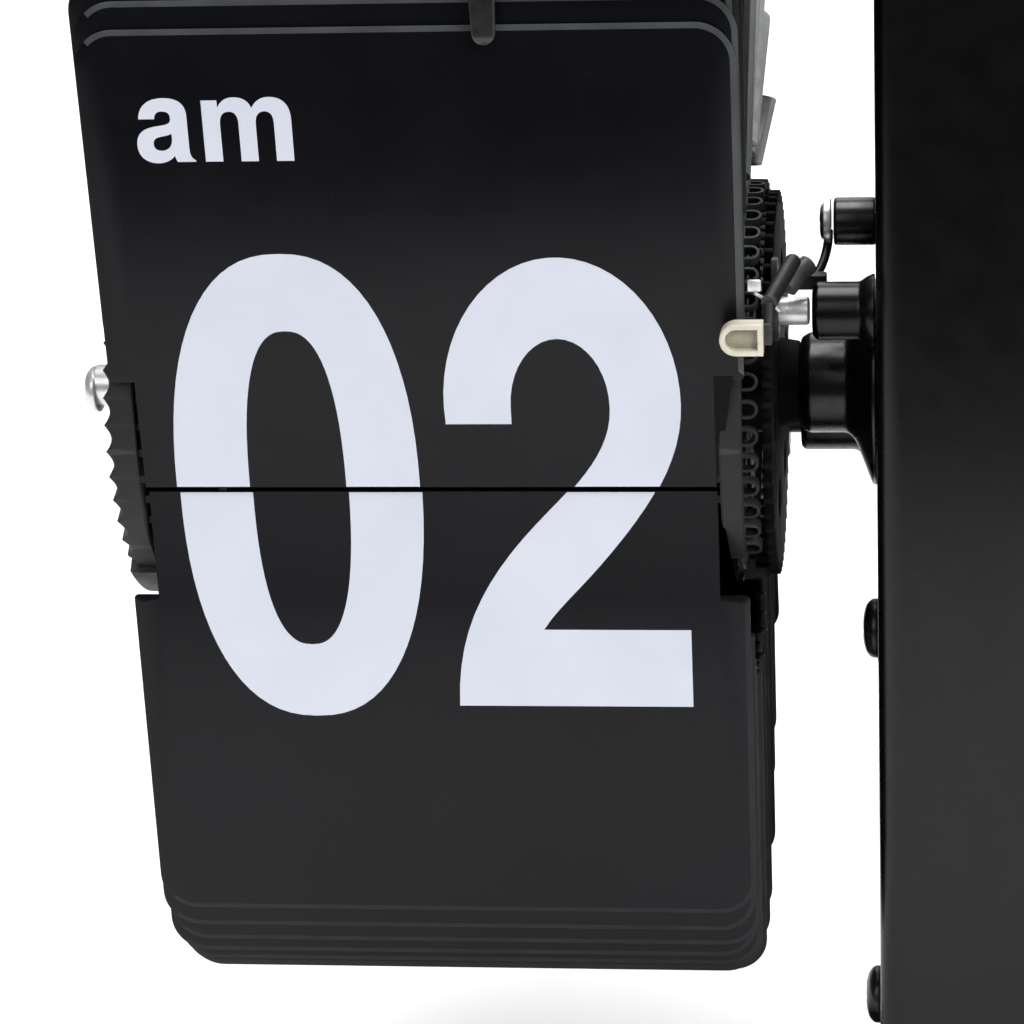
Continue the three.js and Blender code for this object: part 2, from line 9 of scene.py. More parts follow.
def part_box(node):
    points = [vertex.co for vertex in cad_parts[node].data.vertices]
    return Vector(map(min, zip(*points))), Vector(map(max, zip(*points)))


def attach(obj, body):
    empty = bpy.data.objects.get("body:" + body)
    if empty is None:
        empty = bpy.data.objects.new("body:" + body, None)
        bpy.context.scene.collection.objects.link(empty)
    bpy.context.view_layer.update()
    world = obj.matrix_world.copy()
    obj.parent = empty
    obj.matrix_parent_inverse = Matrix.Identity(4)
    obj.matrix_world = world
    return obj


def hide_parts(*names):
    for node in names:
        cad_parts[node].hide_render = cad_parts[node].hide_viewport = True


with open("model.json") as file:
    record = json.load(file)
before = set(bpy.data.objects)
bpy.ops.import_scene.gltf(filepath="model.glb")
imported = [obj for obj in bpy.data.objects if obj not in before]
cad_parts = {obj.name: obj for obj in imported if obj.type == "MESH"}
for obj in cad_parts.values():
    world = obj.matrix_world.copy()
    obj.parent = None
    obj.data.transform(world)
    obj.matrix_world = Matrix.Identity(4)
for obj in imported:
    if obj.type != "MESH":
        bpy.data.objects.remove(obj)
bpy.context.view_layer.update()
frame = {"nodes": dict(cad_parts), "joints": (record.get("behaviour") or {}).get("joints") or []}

MM = 0.001
JOINT_AT = {joint["name"]: Vector(joint["pos_m"]) / MM for joint in frame["joints"]}
AXLE_HEIGHT = JOINT_AT["hour_drum_turn"].z


def cad_box(node):
    """Low and high corners of a CAD node, in millimetres."""
    return [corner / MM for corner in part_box(node)]


class Unit:
    """One drum with its leaves."""

    def __init__(self, name, side, pockets):
        self.name = name
        self.side = side
        self.pockets = pockets
        self.pitch = 360 / pockets
        self.middle = JOINT_AT[f"{name}_drum_turn"].x

    def matrix(self):
        mirror = Matrix.Diagonal((self.side, 1, 1, 1))
        return Matrix.Translation((self.middle, 0, AXLE_HEIGHT)) @ mirror

    def box(self, node):
        """Low and high corners of one of the unit's CAD nodes, in unit coordinates."""
        low, high = cad_box(f"{self.name}_{node}")
        ends = sorted(self.side * (x - self.middle) for x in (low.x, high.x))
        return (
            Vector((ends[0], low.y, low.z - AXLE_HEIGHT)),
            Vector((ends[1], high.y, high.z - AXLE_HEIGHT)),
        )


HOUR = Unit("hour", 1, 48)
MINUTE = Unit("minute", -1, 60)
UNITS = (HOUR, MINUTE)


# ---- materials ----------------------------------------------------------------------
def material(name, tones, roughness, metallic=0.0, grain=12.0, bump=0.0, bump_size=0.2, specular=0.5,
             coat=0.0, wear=None, scuff=None):
    """A finish whose colour drifts between two tones and whose gloss and relief come from noise.

    tones: two linear colours. roughness: lowest and highest. grain: size of the colour drift, mm.
    bump: height of the relief, mm. bump_size: its grain, mm. wear: colour of rubbed edges.
    scuff: colour of sparse dusty specks and scuffs.
    """
    result = bpy.data.materials.new(name)
    result.use_nodes = True
    nodes, links = result.node_tree.nodes, result.node_tree.links
    shader = nodes["Principled BSDF"]
    shader.inputs["Metallic"].default_value = metallic
    shader.inputs["Specular IOR Level"].default_value = specular
    shader.inputs["Coat Weight"].default_value = coat
    place = nodes.new("ShaderNodeTexCoord").outputs["Object"]

    def noise(size, detail):
        texture = nodes.new("ShaderNodeTexNoise")
        texture.inputs["Scale"].default_value = 1 / (size * MM)
        texture.inputs["Detail"].default_value = detail
        links.new(place, texture.inputs["Vector"])
        return texture.outputs["Fac"]

    def ramp(driver, low, high):
        stops = nodes.new("ShaderNodeValToRGB")
        stops.color_ramp.elements[0].position = low
        stops.color_ramp.elements[1].position = high
        links.new(driver, stops.inputs["Fac"])
        return stops

    def over(base, top, amount):
        mix = nodes.new("ShaderNodeMix")
        mix.data_type = "RGBA"
        mix.inputs["B"].default_value = (*top, 1)
        links.new(amount, mix.inputs["Factor"])
        links.new(base, mix.inputs["A"])
        return mix.outputs["Result"]

    drift = ramp(noise(grain, 3), 0.3, 0.7)
    for stop, tone in zip(drift.color_ramp.elements, tones):
        stop.color = (*tone, 1)
    colour = drift.outputs["Color"]
    if wear:
        edges = nodes.new("ShaderNodeNewGeometry").outputs["Pointiness"]
        colour = over(colour, wear, ramp(edges, 0.52, 0.62).outputs["Color"])
    if scuff:
        colour = over(colour, scuff, ramp(noise(1.1, 5), 0.7, 0.78).outputs["Color"])
    links.new(colour, shader.inputs["Base Color"])

    gloss = nodes.new("ShaderNodeMapRange")
    gloss.inputs["From Min"].default_value = 0.3
    gloss.inputs["From Max"].default_value = 0.7
    gloss.inputs["To Min"].default_value = roughness[0]
    gloss.inputs["To Max"].default_value = roughness[1]
    links.new(noise(grain / 3, 2), gloss.inputs["Value"])
    links.new(gloss.outputs["Result"], shader.inputs["Roughness"])

    if bump:
        relief = nodes.new("ShaderNodeBump")
        relief.inputs["Strength"].default_value = 1
        relief.inputs["Distance"].default_value = bump * MM
        links.new(noise(bump_size, 2), relief.inputs["Height"])
        links.new(relief.outputs["Normal"], shader.inputs["Normal"])
    return result


def grey(value, blue=1.0):
    return (value, value, value * blue)


PAINT = material("powder_coat", (grey(0.0003, 1.6), grey(0.0008, 1.5)), (0.25, 0.31), bump=0.004,
                 bump_size=0.35, specular=0.3, scuff=grey(0.002))
LEAF_BLACK = material("leaf_sheet", (grey(0.0024, 1.5), grey(0.0034, 1.5)), (0.24, 0.3), grain=20,
                      bump=0.0015, bump_size=0.5, specular=0.19, scuff=grey(0.007, 1.2))
# a pale copy of the leaf colour for lit chamfers: painted highlight standing in for light caught on the
# leaves' edges
LEAF_EDGE_HIGHLIGHT = material("leaf_edge_painted_highlight", ((0.038, 0.043, 0.043), (0.056, 0.062, 0.061)), (0.3, 0.42), grain=5,
                     bump=0.003, bump_size=0.3, specular=0.4)
# a dimmer copy of the edge colour: painted shade for leaf edges that do not catch the light
LEAF_EDGE_SHADE = material("leaf_edge_painted_shade", (grey(0.01, 1.2), grey(0.015, 1.2)), (0.3, 0.42), grain=5,
                          bump=0.003, bump_size=0.3, specular=0.2)
INK = material("white_ink", ((0.6, 0.63, 0.715), (0.64, 0.665, 0.745)), (0.42, 0.55), grain=9, bump=0.002,
               bump_size=0.25, specular=0.25)
DRUM_GREY = material("drum_plastic", (grey(0.0045, 1.1), grey(0.008, 1.1)), (0.45, 0.58), grain=6,
                     bump=0.004, bump_size=0.3, specular=0.2, wear=grey(0.04, 1.05), scuff=grey(0.02))
BLACK_PLASTIC = material("black_plastic", (grey(0.002), grey(0.0035)), (0.3, 0.42), grain=5, bump=0.004,
                         bump_size=0.25, specular=0.25, scuff=grey(0.012))
LEVER_GREY = material("lever_plastic", (grey(0.006), grey(0.01)), (0.4, 0.55), grain=4, bump=0.004,
                      bump_size=0.25, specular=0.35, wear=grey(0.06))
BOSS_BLACK = material("turned_black", (grey(0.0015), grey(0.003)), (0.24, 0.32), grain=5, bump=0.002,
                      bump_size=0.3, specular=0.4, wear=grey(0.02))
CREAM = material("cream_plastic", ((0.6, 0.56, 0.45), (0.7, 0.66, 0.56)), (0.3, 0.42), grain=2, bump=0.003,
                 bump_size=0.2, scuff=(0.35, 0.32, 0.25))
# a darker copy of the cream: painted shade for the floor of the catch tip's recess
CREAM_PAINTED_SHADE = material("cream_recess_painted_shade", ((0.26, 0.25, 0.18), (0.34, 0.33, 0.25)), (0.4, 0.5), grain=2,
                       bump=0.004, bump_size=0.2, scuff=(0.16, 0.14, 0.1))
STEEL = material("bright_steel", (grey(0.7), grey(0.85)), (0.26, 0.38), metallic=0.6, grain=2, bump=0.002,
                 bump_size=0.15, wear=grey(0.85))
DARK_STEEL = material("blackened_steel", (grey(0.006), grey(0.012)), (0.26, 0.38), metallic=0.2, grain=3,
                      bump=0.003, bump_size=0.2, wear=grey(0.05))
DULL_BLACK = material("dull_black", (grey(0.001), grey(0.002)), (0.7, 0.85), grain=5, bump=0.004,
                      bump_size=0.3, specular=0.12, scuff=grey(0.008))
RUBBER = material("base_rubber", (grey(0.008), grey(0.014)), (0.8, 0.92), grain=8, bump=0.03,
                  bump_size=0.6, scuff=grey(0.03))
MOVEMENT_WHITE = material("movement_plastic", ((0.62, 0.62, 0.58), (0.7, 0.7, 0.66)), (0.4, 0.5),
                          grain=10, bump=0.01, bump_size=0.4, scuff=(0.45, 0.44, 0.4))
ZINC = material("zinc_plate", (grey(0.4), grey(0.55)), (0.28, 0.42), metallic=1, grain=4, bump=0.003,
                scuff=grey(0.25))
JACKET = material("cell_jacket", ((0.02, 0.05, 0.12), (0.03, 0.07, 0.16)), (0.25, 0.35), metallic=0.4,
                  grain=15, bump=0.003, coat=0.4, scuff=grey(0.2))


# ---- outlines -----------------------------------------------------------------------
class Outline:
    """A closed flat outline drawn with lines, Bezier curves and elliptical arcs."""

    def __init__(self, x, y):
        self.points = [(x, y)]

    def line(self, *corners):
        self.points.extend(corners)
        return self

    def curve(self, first, second, end, steps=12):
        start = Vector(self.points[-1])
        a, b, c = Vector(first), Vector(second), Vector(end)
        for i in range(1, steps + 1):
            t = i / steps
            r = 1 - t
            point = start * r**3 + a * (3 * r * r * t) + b * (3 * r * t * t) + c * t**3
            self.points.append(tuple(point))
        return self

    def arc(self, centre, radii, start, end, steps=16):
        """An elliptical arc between two angles in degrees."""
        for i in range(steps + 1):
            angle = math.radians(start + (end - start) * i / steps)
            x = centre[0] + radii[0] * math.cos(angle)
            y = centre[1] + radii[1] * math.sin(angle)
            if (Vector((x, y)) - Vector(self.points[-1])).length > 1e-4:
                self.points.append((x, y))
        return self


def circle(radius, steps=48, centre=(0, 0)):
    angles = (2 * math.pi * i / steps for i in range(steps))
    return [(centre[0] + radius * math.cos(a), centre[1] + radius * math.sin(a)) for a in angles]


def superellipse(centre, half_width, half_height, power, steps=72):
    points = []
    for i in range(steps):
        angle = 2 * math.pi * i / steps
        x, y = math.cos(angle), math.sin(angle)
        points.append((
            centre[0] + half_width * math.copysign(abs(x) ** (2 / power), x),
            centre[1] + half_height * math.copysign(abs(y) ** (2 / power), y),
        ))
    return points


def rounded_box(x_low, x_high, y_low, y_high, radius, steps=6):
    corners = (
        (x_high - radius, y_high - radius, 0),
        (x_low + radius, y_high - radius, 90),
        (x_low + radius, y_low + radius, 180),
        (x_high - radius, y_low + radius, 270),
    )
    points = []
    for x, y, start in corners:
        for i in range(steps + 1):
            angle = math.radians(start + 90 * i / steps)
            points.append((x + radius * math.cos(angle), y + radius * math.sin(angle)))
    return points


# ---- meshes, in millimetres ---------------------------------------------------------
def as_mesh(work):
    """The mesh of a bmesh, which is freed."""
    mesh = bpy.data.meshes.new("mesh")
    work.to_mesh(mesh)
    work.free()
    return mesh


def weld(mesh):
    work = bmesh.new()
    work.from_mesh(mesh)
    bmesh.ops.remove_doubles(work, verts=work.verts, dist=1e-3)
    bmesh.ops.recalc_face_normals(work, faces=work.faces)
    work.to_mesh(mesh)
    work.free()
    return mesh


def evaluated(thing):
    """The mesh of an object with its modifiers or curve settings worked out; the object is removed."""
    bpy.context.scene.collection.objects.link(thing)
    bpy.context.view_layer.update()
    mesh = bpy.data.meshes.new_from_object(thing.evaluated_get(bpy.context.evaluated_depsgraph_get()))
    bpy.data.objects.remove(thing)
    return mesh


def flat_curve(loops):
    """A flat filled curve; the first loop is its outline, the others are holes."""
    curve = bpy.data.curves.new("flat", "CURVE")
    curve.dimensions = "2D"
    curve.fill_mode = "BOTH"
    for loop in loops:
        spline = curve.splines.new("POLY")
        spline.points.add(len(loop) - 1)
        for point, (x, y) in zip(spline.points, loop):
            point.co = (x, y, 0, 1)
        spline.use_cyclic_u = True
    return curve


def plate(loops, low, high, bevel=0.0, steps=2):
    """A solid between z = low and z = high with the outline and holes of its loops."""
    curve = flat_curve(loops)
    curve.extrude = (high - low) / 2 - bevel
    curve.bevel_depth = bevel
    curve.bevel_resolution = steps
    curve.offset = -bevel
    mesh = evaluated(bpy.data.objects.new("plate", curve))
    mesh.transform(Matrix.Translation((0, 0, (low + high) / 2)))
    return weld(mesh)


def flat_fill(loops):
    """The area of an outline with holes, as flat faces at z = 0."""
    return weld(evaluated(bpy.data.objects.new("fill", flat_curve(loops))))


def soften(profile, radius, steps=3):
    """Rounds the inner corners of a lathe profile."""
    points = [Vector(point) for point in profile]
    result = [points[0]]
    for before, corner, after in zip(points, points[1:], points[2:]):
        reach = min(radius, (before - corner).length / 2.2, (after - corner).length / 2.2)
        start = corner + (before - corner).normalized() * reach
        end = corner + (after - corner).normalized() * reach
        for i in range(steps + 1):
            t = i / steps
            result.append(start * (1 - t) ** 2 + corner * (2 * t * (1 - t)) + end * t * t)
    result.append(points[-1])
    return [tuple(point) for point in result]


def lathe(profile, steps=64, closed=False):
    """Turns (x, radius) points round the X axis."""
    work = bmesh.new()
    rings = []
    for x, radius in profile:
        if radius < 1e-6:
            rings.append([work.verts.new((x, 0, 0))])
            continue
        angles = (2 * math.pi * i / steps for i in range(steps))
        rings.append([work.verts.new((x, radius * math.cos(a), radius * math.sin(a))) for a in angles])
    pairs = list(zip(rings, rings[1:]))
    if closed:
        pairs.append((rings[-1], rings[0]))
    for first, second in pairs:
        for i in range(steps):
            j = (i + 1) % steps
            places = ((first, i), (first, j), (second, j), (second, i))
            corners = list(dict.fromkeys(ring[place % len(ring)] for ring, place in places))
            if len(corners) > 2:
                work.faces.new(corners)
    bmesh.ops.recalc_face_normals(work, faces=work.faces)
    return as_mesh(work)


def turned(profile, edge, steps=48, closed=True):
    """A lathe profile with its inner corners rounded by edge; a closed one makes a tube."""
    return lathe(soften(profile, edge), steps, closed)


def round_bar(start, end, radius, edge, steps=40):
    return turned([(start, 0), (start, radius), (end, radius), (end, 0)], edge, steps, closed=False)


def wire(path, radius, sides=4, smooth=True):
    """A round wire along a list of 3-D points."""
    curve = bpy.data.curves.new("wire", "CURVE")
    curve.dimensions = "3D"
    curve.bevel_depth = radius
    curve.bevel_resolution = sides
    curve.use_fill_caps = True
    spline = curve.splines.new("NURBS" if smooth and len(path) > 3 else "POLY")
    spline.points.add(len(path) - 1)
    for point, place in zip(spline.points, path):
        point.co = (*place, 1)
    spline.use_endpoint_u = True
    return weld(evaluated(bpy.data.objects.new("wire", curve)))


def merged(*meshes):
    work = bmesh.new()
    for mesh in meshes:
        work.from_mesh(mesh)
    return as_mesh(work)


def moved(mesh, matrix):
    copy = mesh.copy()
    copy.transform(matrix)
    if matrix.determinant() < 0:
        copy.flip_normals()
    return copy


def carved(mesh, *cutters):
    """The mesh with every cutter taken away."""
    thing = bpy.data.objects.new("carved", mesh)
    tools = []
    for cutter in cutters:
        tool = bpy.data.objects.new("cutter", cutter)
        bpy.context.scene.collection.objects.link(tool)
        cut = thing.modifiers.new("cut", "BOOLEAN")
        cut.operation = "DIFFERENCE"
        cut.solver = "EXACT"
        cut.object = tool
        tools.append(tool)
    result = evaluated(thing)
    for tool in tools:
        bpy.data.objects.remove(tool)
    return result


def block(low, high):
    """A plain box, used only to cut or to be bevelled."""
    loop = [(low[0], low[1]), (high[0], low[1]), (high[0], high[1]), (low[0], high[1])]
    return plate([loop], low[2], high[2])


def bevelled(mesh, width, steps=2):
    thing = bpy.data.objects.new("bevelled", mesh)
    bevel = thing.modifiers.new("bevel", "BEVEL")
    bevel.width = width
    bevel.segments = steps
    bevel.limit_method = "ANGLE"
    bevel.angle_limit = math.radians(35)
    return evaluated(thing)


def from_point(base, *offsets):
    """Points given by their offsets from a base point."""
    return [base + Vector(offset) for offset in offsets]


ALONG_U = Matrix(((0, 0, 1, 0), (1, 0, 0, 0), (0, 1, 0, 0), (0, 0, 0, 1)))  # plate x, y, z to y, z, u
FACING_FRONT = Matrix(((1, 0, 0, 0), (0, 0, -1, 0), (0, 1, 0, 0), (0, 0, 0, 1)))  # plate z to the front
HALF_TURN = Matrix.Rotation(math.pi, 4, "Z")  # from looking along +X to looking along -X


# ---- placing pieces -----------------------------------------------------------------
def piece(name, mesh, finish, body, replaces=(), place=Matrix.Identity(4), sharp=35):
    """Puts a millimetre mesh into the frame as a piece that rides on a body.

    finish: one material, or several in the order of the mesh's own material numbers.
    """
    final = moved(mesh, Matrix.Scale(MM, 4) @ place)
    numbers = [face.material_index for face in final.polygons]
    final.materials.clear()
    for coat in finish if isinstance(finish, tuple) else (finish,):
        final.materials.append(coat)
    final.polygons.foreach_set("material_index", numbers)
    final.shade_smooth()
    final.set_sharp_from_angle(angle=math.radians(sharp))
    thing = bpy.data.objects.new(name, final)
    bpy.context.scene.collection.objects.link(thing)
    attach(thing, body)
    if replaces:
        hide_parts(*replaces)


def unit_piece(unit, name, mesh, finish, body, replaces=(), place=Matrix.Identity(4), sharp=35):
    nodes = [f"{unit.name}_{node}" for node in replaces]
    body_name = body if body == "stand" else f"{unit.name}_{body}"
    place = unit.matrix() @ place
    piece(f"{unit.name}_{name}_look", mesh, finish, body_name, nodes, place, sharp)


# ---- lettering ----------------------------------------------------------------------
# Digits are drawn in millimetres round the split line (y = 0) of a number, 52 mm tall.
DIGIT = {"half_width": 13.1, "half_height": 26.7, "counter_width": 5.2, "counter_height": 18.2}
DIGIT_CENTRES = (-14.25, 14.4)


def zero():
    outer = superellipse((0, 0), DIGIT["half_width"], DIGIT["half_height"], 2.35)
    counter = superellipse((0, 0), DIGIT["counter_width"], DIGIT["counter_height"], 2.5)
    return [outer, counter]


def two():
    shape = Outline(-12.4, 7.7)
    shape.arc((0, 9.8), (12.45, 16.3), 187, 0, 30)
    shape.curve((12.45, 3.6), (8.9, -2.2), (3.3, -8.8))
    shape.curve((0.8, -11.8), (-1.7, -14.0), (-3.2, -16.4), 6)
    shape.line((12.7, -16.4), (12.7, -25.4), (-12.8, -25.4))
    shape.curve((-12.7, -15.5), (-8.5, -9.3), (-2.0, -2.6))
    shape.curve((1.5, 1.0), (5.0, 4.8), (5.0, 9.4))
    shape.arc((-0.2, 9.6), (5.2, 7.6), 0, 180, 20)
    shape.line((-5.4, 7.7))
    return [shape.points]


def three():
    shape = Outline(-12.4, 9.0)
    shape.arc((0, 11.6), (12.0, 14.6), 190, 0, 30)
    shape.curve((12.0, 6.5), (10.5, 2.2), (6.6, 0.4))
    shape.curve((10.8, -1.6), (12.8, -6.0), (12.8, -11.2))
    shape.arc((0, -11.4), (12.8, 15.0), 0, -190, 30)
    shape.line((-5.6, -9.0))
    shape.arc((-0.1, -11.2), (5.3, 7.4), -195, 0, 20)
    shape.curve((5.2, -6.2), (3.0, -4.2), (-1.0, -4.2))
    shape.line((-3.6, -4.2), (-3.6, 3.6), (-1.0, 3.6))
    shape.curve((2.8, 3.6), (4.7, 6.2), (4.7, 11.2))
    shape.arc((-0.1, 11.4), (4.8, 7.0), 0, 195, 20)
    return [shape.points]


def letter_a():
    shape = Outline(0.35, 4.55)
    shape.curve((0.5, 6.1), (1.6, 6.75), (3.05, 6.75))
    shape.curve((4.6, 6.75), (5.35, 6.1), (5.35, 4.8))
    shape.line((5.35, 1.5))
    shape.curve((5.35, 0.9), (5.4, 0.4), (5.95, 0.12), 6)
    shape.line((5.95, 0), (4.05, 0))
    shape.curve((3.9, 0.2), (3.85, 0.4), (3.8, 0.65), 4)
    shape.curve((3.3, 0.1), (2.7, -0.12), (2.05, -0.12))
    shape.curve((0.8, -0.12), (0, 0.6), (0, 1.8))
    shape.curve((0, 3.1), (0.8, 3.6), (2.2, 3.8))
    shape.curve((3.2, 3.95), (3.65, 4.0), (3.65, 4.6))
    shape.curve((3.65, 5.2), (3.3, 5.35), (2.85, 5.35))
    shape.curve((2.3, 5.35), (2.05, 5.1), (2.0, 4.55))
    counter = Outline(3.65, 3.0)
    counter.line((3.65, 2.5))
    counter.curve((3.65, 1.6), (3.1, 1.2), (2.5, 1.2))
    counter.curve((2.0, 1.2), (1.7, 1.45), (1.7, 1.9))
    counter.curve((1.7, 2.4), (2.0, 2.6), (2.6, 2.7))
    counter.curve((3.1, 2.8), (3.4, 2.85), (3.65, 3.0))
    return [shape.points, counter.points]


def letter_m():
    shape = Outline(0, 0)
    shape.line((0, 6.45), (1.65, 6.45), (1.65, 5.65))
    shape.curve((2.0, 6.4), (2.6, 6.75), (3.4, 6.75))
    shape.curve((4.3, 6.75), (4.9, 6.35), (5.15, 5.6))
    shape.curve((5.6, 6.4), (6.2, 6.75), (7.0, 6.75))
    shape.curve((8.4, 6.75), (9.15, 5.9), (9.15, 4.4))
    shape.line((9.15, 0), (7.35, 0), (7.35, 4.0))
    shape.curve((7.35, 4.9), (7.0, 5.25), (6.45, 5.25))
    shape.curve((5.85, 5.25), (5.48, 4.8), (5.48, 3.9))
    shape.line((5.48, 0), (3.7, 0), (3.7, 4.0))
    shape.curve((3.7, 4.9), (3.35, 5.25), (2.8, 5.25))
    shape.curve((2.15, 5.25), (1.8, 4.8), (1.8, 3.9))
    shape.line((1.8, 0))
    return [shape.points]


def shifted(loops, x, y):
    return [[(px + x, py + y) for px, py in loop] for loop in loops]


DIGIT_SHAPES = {"0": zero(), "2": two(), "3": three()}


def number_face(digits, with_letters=False):
    """Flat faces of a two-digit number with its split line at y = 0, and "am" above if asked for."""
    parts = [
        flat_fill(shifted(DIGIT_SHAPES[digit], x, 0))
        for digit, x in zip(digits, DIGIT_CENTRES)
    ]
    if with_letters:
        parts.append(flat_fill(shifted(letter_a(), -27.8, 36.7)))
        parts.append(flat_fill(shifted(letter_m(), -20.85, 36.7)))
    return merged(*parts)


INK_THICKNESS = 0.03
SPLIT_HALF = 0.56  # from the middle of the split to where a leaf's ink starts


def half_print(face, upper):
    """The ink of a number's upper or lower half, standing on z = 0."""
    work = bmesh.new()
    work.from_mesh(face)
    sign = 1 if upper else -1
    everything = work.verts[:] + work.edges[:] + work.faces[:]
    bmesh.ops.bisect_plane(work, geom=everything, dist=1e-4, plane_co=(0, sign * SPLIT_HALF, 0),
                           plane_no=(0, -sign, 0), clear_outer=True)
    raised = bmesh.ops.extrude_face_region(work, geom=work.faces[:])["geom"]
    tops = [item for item in raised if isinstance(item, bmesh.types.BMVert)]
    bmesh.ops.translate(work, verts=tops, vec=(0, 0, INK_THICKNESS))
    bmesh.ops.recalc_face_normals(work, faces=work.faces)
    return as_mesh(work)


# ---- leaves -------------------------------------------------------------------------
LEAF = {
    "left": -33.5,
    "right": 33.48,
    "length": 50.1,
    "thickness": 0.4,
    "corner": 4.1,
    "tail": 0.95,  # from the pins to the hinge edge
    "hinge_left": -30.8,  # the narrow part between the drum's cheeks
    "hinge_right": 30.35,
    "notch": 12,  # how far the narrow part reaches from the hinge edge
    "nick": 0.5,  # rounding where a notch meets the leaf's side
    "chamfer": 0.58,
    "rim": 0.06,  # what the chamfers leave of the thickness at the very edge
    "pin": 1.4,  # how far a pin reaches out of the narrow part
    "pin_half": 0.42,
}
POCKET_CIRCLE = 21.6
SPLIT_FROM_PIN = 1.4  # from the pin line to the middle of the split, when the leaf stands
LEAF_STEP = 0.43  # least distance between the planes of two neighbouring leaves


def leaf_outline(inset, hinge_inset):
    """The leaf as x, v. The free edges are moved in by inset, the narrow part's by hinge_inset."""
    side, far, tip = LEAF["right"] - inset, LEAF["left"] + inset, LEAF["length"] - LEAF["tail"] - inset
    left, right = LEAF["hinge_left"] + hinge_inset, LEAF["hinge_right"] - hinge_inset
    bottom, shoulder = -LEAF["tail"] + hinge_inset, LEAF["notch"] - LEAF["tail"] + inset
    corner, nick = LEAF["corner"] - inset, LEAF["nick"]
    shape = Outline(left, bottom)
    shape.line((right, bottom), (right, shoulder), (side - nick, shoulder))
    shape.arc((side - nick, shoulder + nick), (nick, nick), -90, 0, 4)
    shape.arc((side - corner, tip - corner), (corner, corner), 0, 90, 12)
    shape.arc((far + corner, tip - corner), (corner, corner), 90, 180, 12)
    shape.arc((far + nick, shoulder + nick), (nick, nick), 180, 270, 4)
    shape.line((left, shoulder))
    return shape.points


def leaf_mesh():
    """A sheet with chamfered edges and two pins; the tip's and post side's chamfers, which face the light,
    have material 1 for a painted highlight.
    """
    half, rim = LEAF["thickness"] / 2, LEAF["rim"] / 2
    edge, flat = leaf_outline(0, 0), leaf_outline(LEAF["chamfer"], 0.05)
    lowest, farthest = LEAF["notch"] - LEAF["tail"] + LEAF["nick"], LEAF["left"] + LEAF["corner"] / 4
    work = bmesh.new()
    rings = [
        [work.verts.new((x, v, height)) for x, v in outline]
        for outline, height in ((flat, -half), (edge, -rim), (edge, rim), (flat, half))
    ]
    count = len(edge)
    for lower, upper in zip(rings, rings[1:]):
        for i in range(count):
            j = (i + 1) % count
            face = work.faces.new((lower[i], lower[j], upper[j], upper[i]))
            # the chamfers along the tip and the post side are where light falls: they carry the painted
            # highlight
            painted_highlight = all(x > farthest and v > lowest - 0.01 for x, v in (edge[i], edge[j]))
            face.material_index = int(painted_highlight)
    work.faces.new(rings[-1])
    work.faces.new(rings[0][::-1])
    bmesh.ops.triangulate(work, faces=work.faces)
    sheet = as_mesh(work)
    overlap, thin = 0.3, half * 0.8
    reach, wide = LEAF["pin"], LEAF["pin_half"]
    left, right = LEAF["hinge_left"], LEAF["hinge_right"]
    return merged(
        sheet,
        block((left - reach, -wide, -thin), (left + overlap, wide, thin)),
        block((right - overlap, -wide, -thin), (right + reach, wide, thin)),
    )


def pin_place(angle, forward=0.0):
    turn = math.radians(angle)
    return -POCKET_CIRCLE * math.cos(turn) - forward, POCKET_CIRCLE * math.sin(turn)


def leaf_matrix(y, z, lean):
    """From a leaf's own x, v (up from the pins) and front normal to unit coordinates."""
    turn = math.radians(lean)
    s, c = math.sin(turn), math.cos(turn)
    return Matrix(((1, 0, 0, 0), (0, s, -c, y), (0, c, s, z), (0, 0, 0, 1)))


def leaf_places(unit):
    """(y, z, lean) of every leaf. Leaf 0 is about to fall, 1 waits behind it, -1 fell last."""
    top_angle, held_forward = -8.5, 0.64
    y, z = pin_place(top_angle, held_forward)
    places = {0: (y, z, -3.0)}
    standing_lean = {1: -3.0, 2: -3.0, 3: -2.6}
    chord = 2 * POCKET_CIRCLE * math.sin(math.radians(unit.pitch / 2))
    rest_back = unit.pitch / 2 - math.degrees(math.asin(LEAF_STEP / chord))
    last_standing, last_paired = 38, 125
    spread, cling = 1.6, 1.2
    for index in range(1, unit.pockets):
        angle = top_angle + unit.pitch * index
        y, z = pin_place(angle)
        if angle < last_standing:
            before_y, before_z, before_lean = places[index - 1]
            lean = standing_lean.get(index, before_lean + spread)
            plane = before_y + (z - before_z) * math.tan(math.radians(before_lean))
            places[index] = (max(y, plane + LEAF_STEP), z, lean)
        else:
            places[index] = (y, z, min(180.0, angle + rest_back))
    # leaves in the fan cling together in pairs
    for index in range(1, unit.pockets - 1):
        angle = top_angle + unit.pitch * index
        if last_standing < angle < last_paired and index % 2 == 0:
            lean = places[index][2] + cling
            after_y, after_z, _ = places[index + 1]
            places[index + 1] = (after_y, after_z, lean)
    return places


def print_matrix(front):
    """From a number's drawing to a leaf's own coordinates."""
    half = LEAF["thickness"] / 2
    if front:
        return Matrix.Translation((0, -SPLIT_FROM_PIN, half))
    return Matrix.Translation((0, -SPLIT_FROM_PIN, -half)) @ Matrix.Diagonal((1, -1, -1, 1))


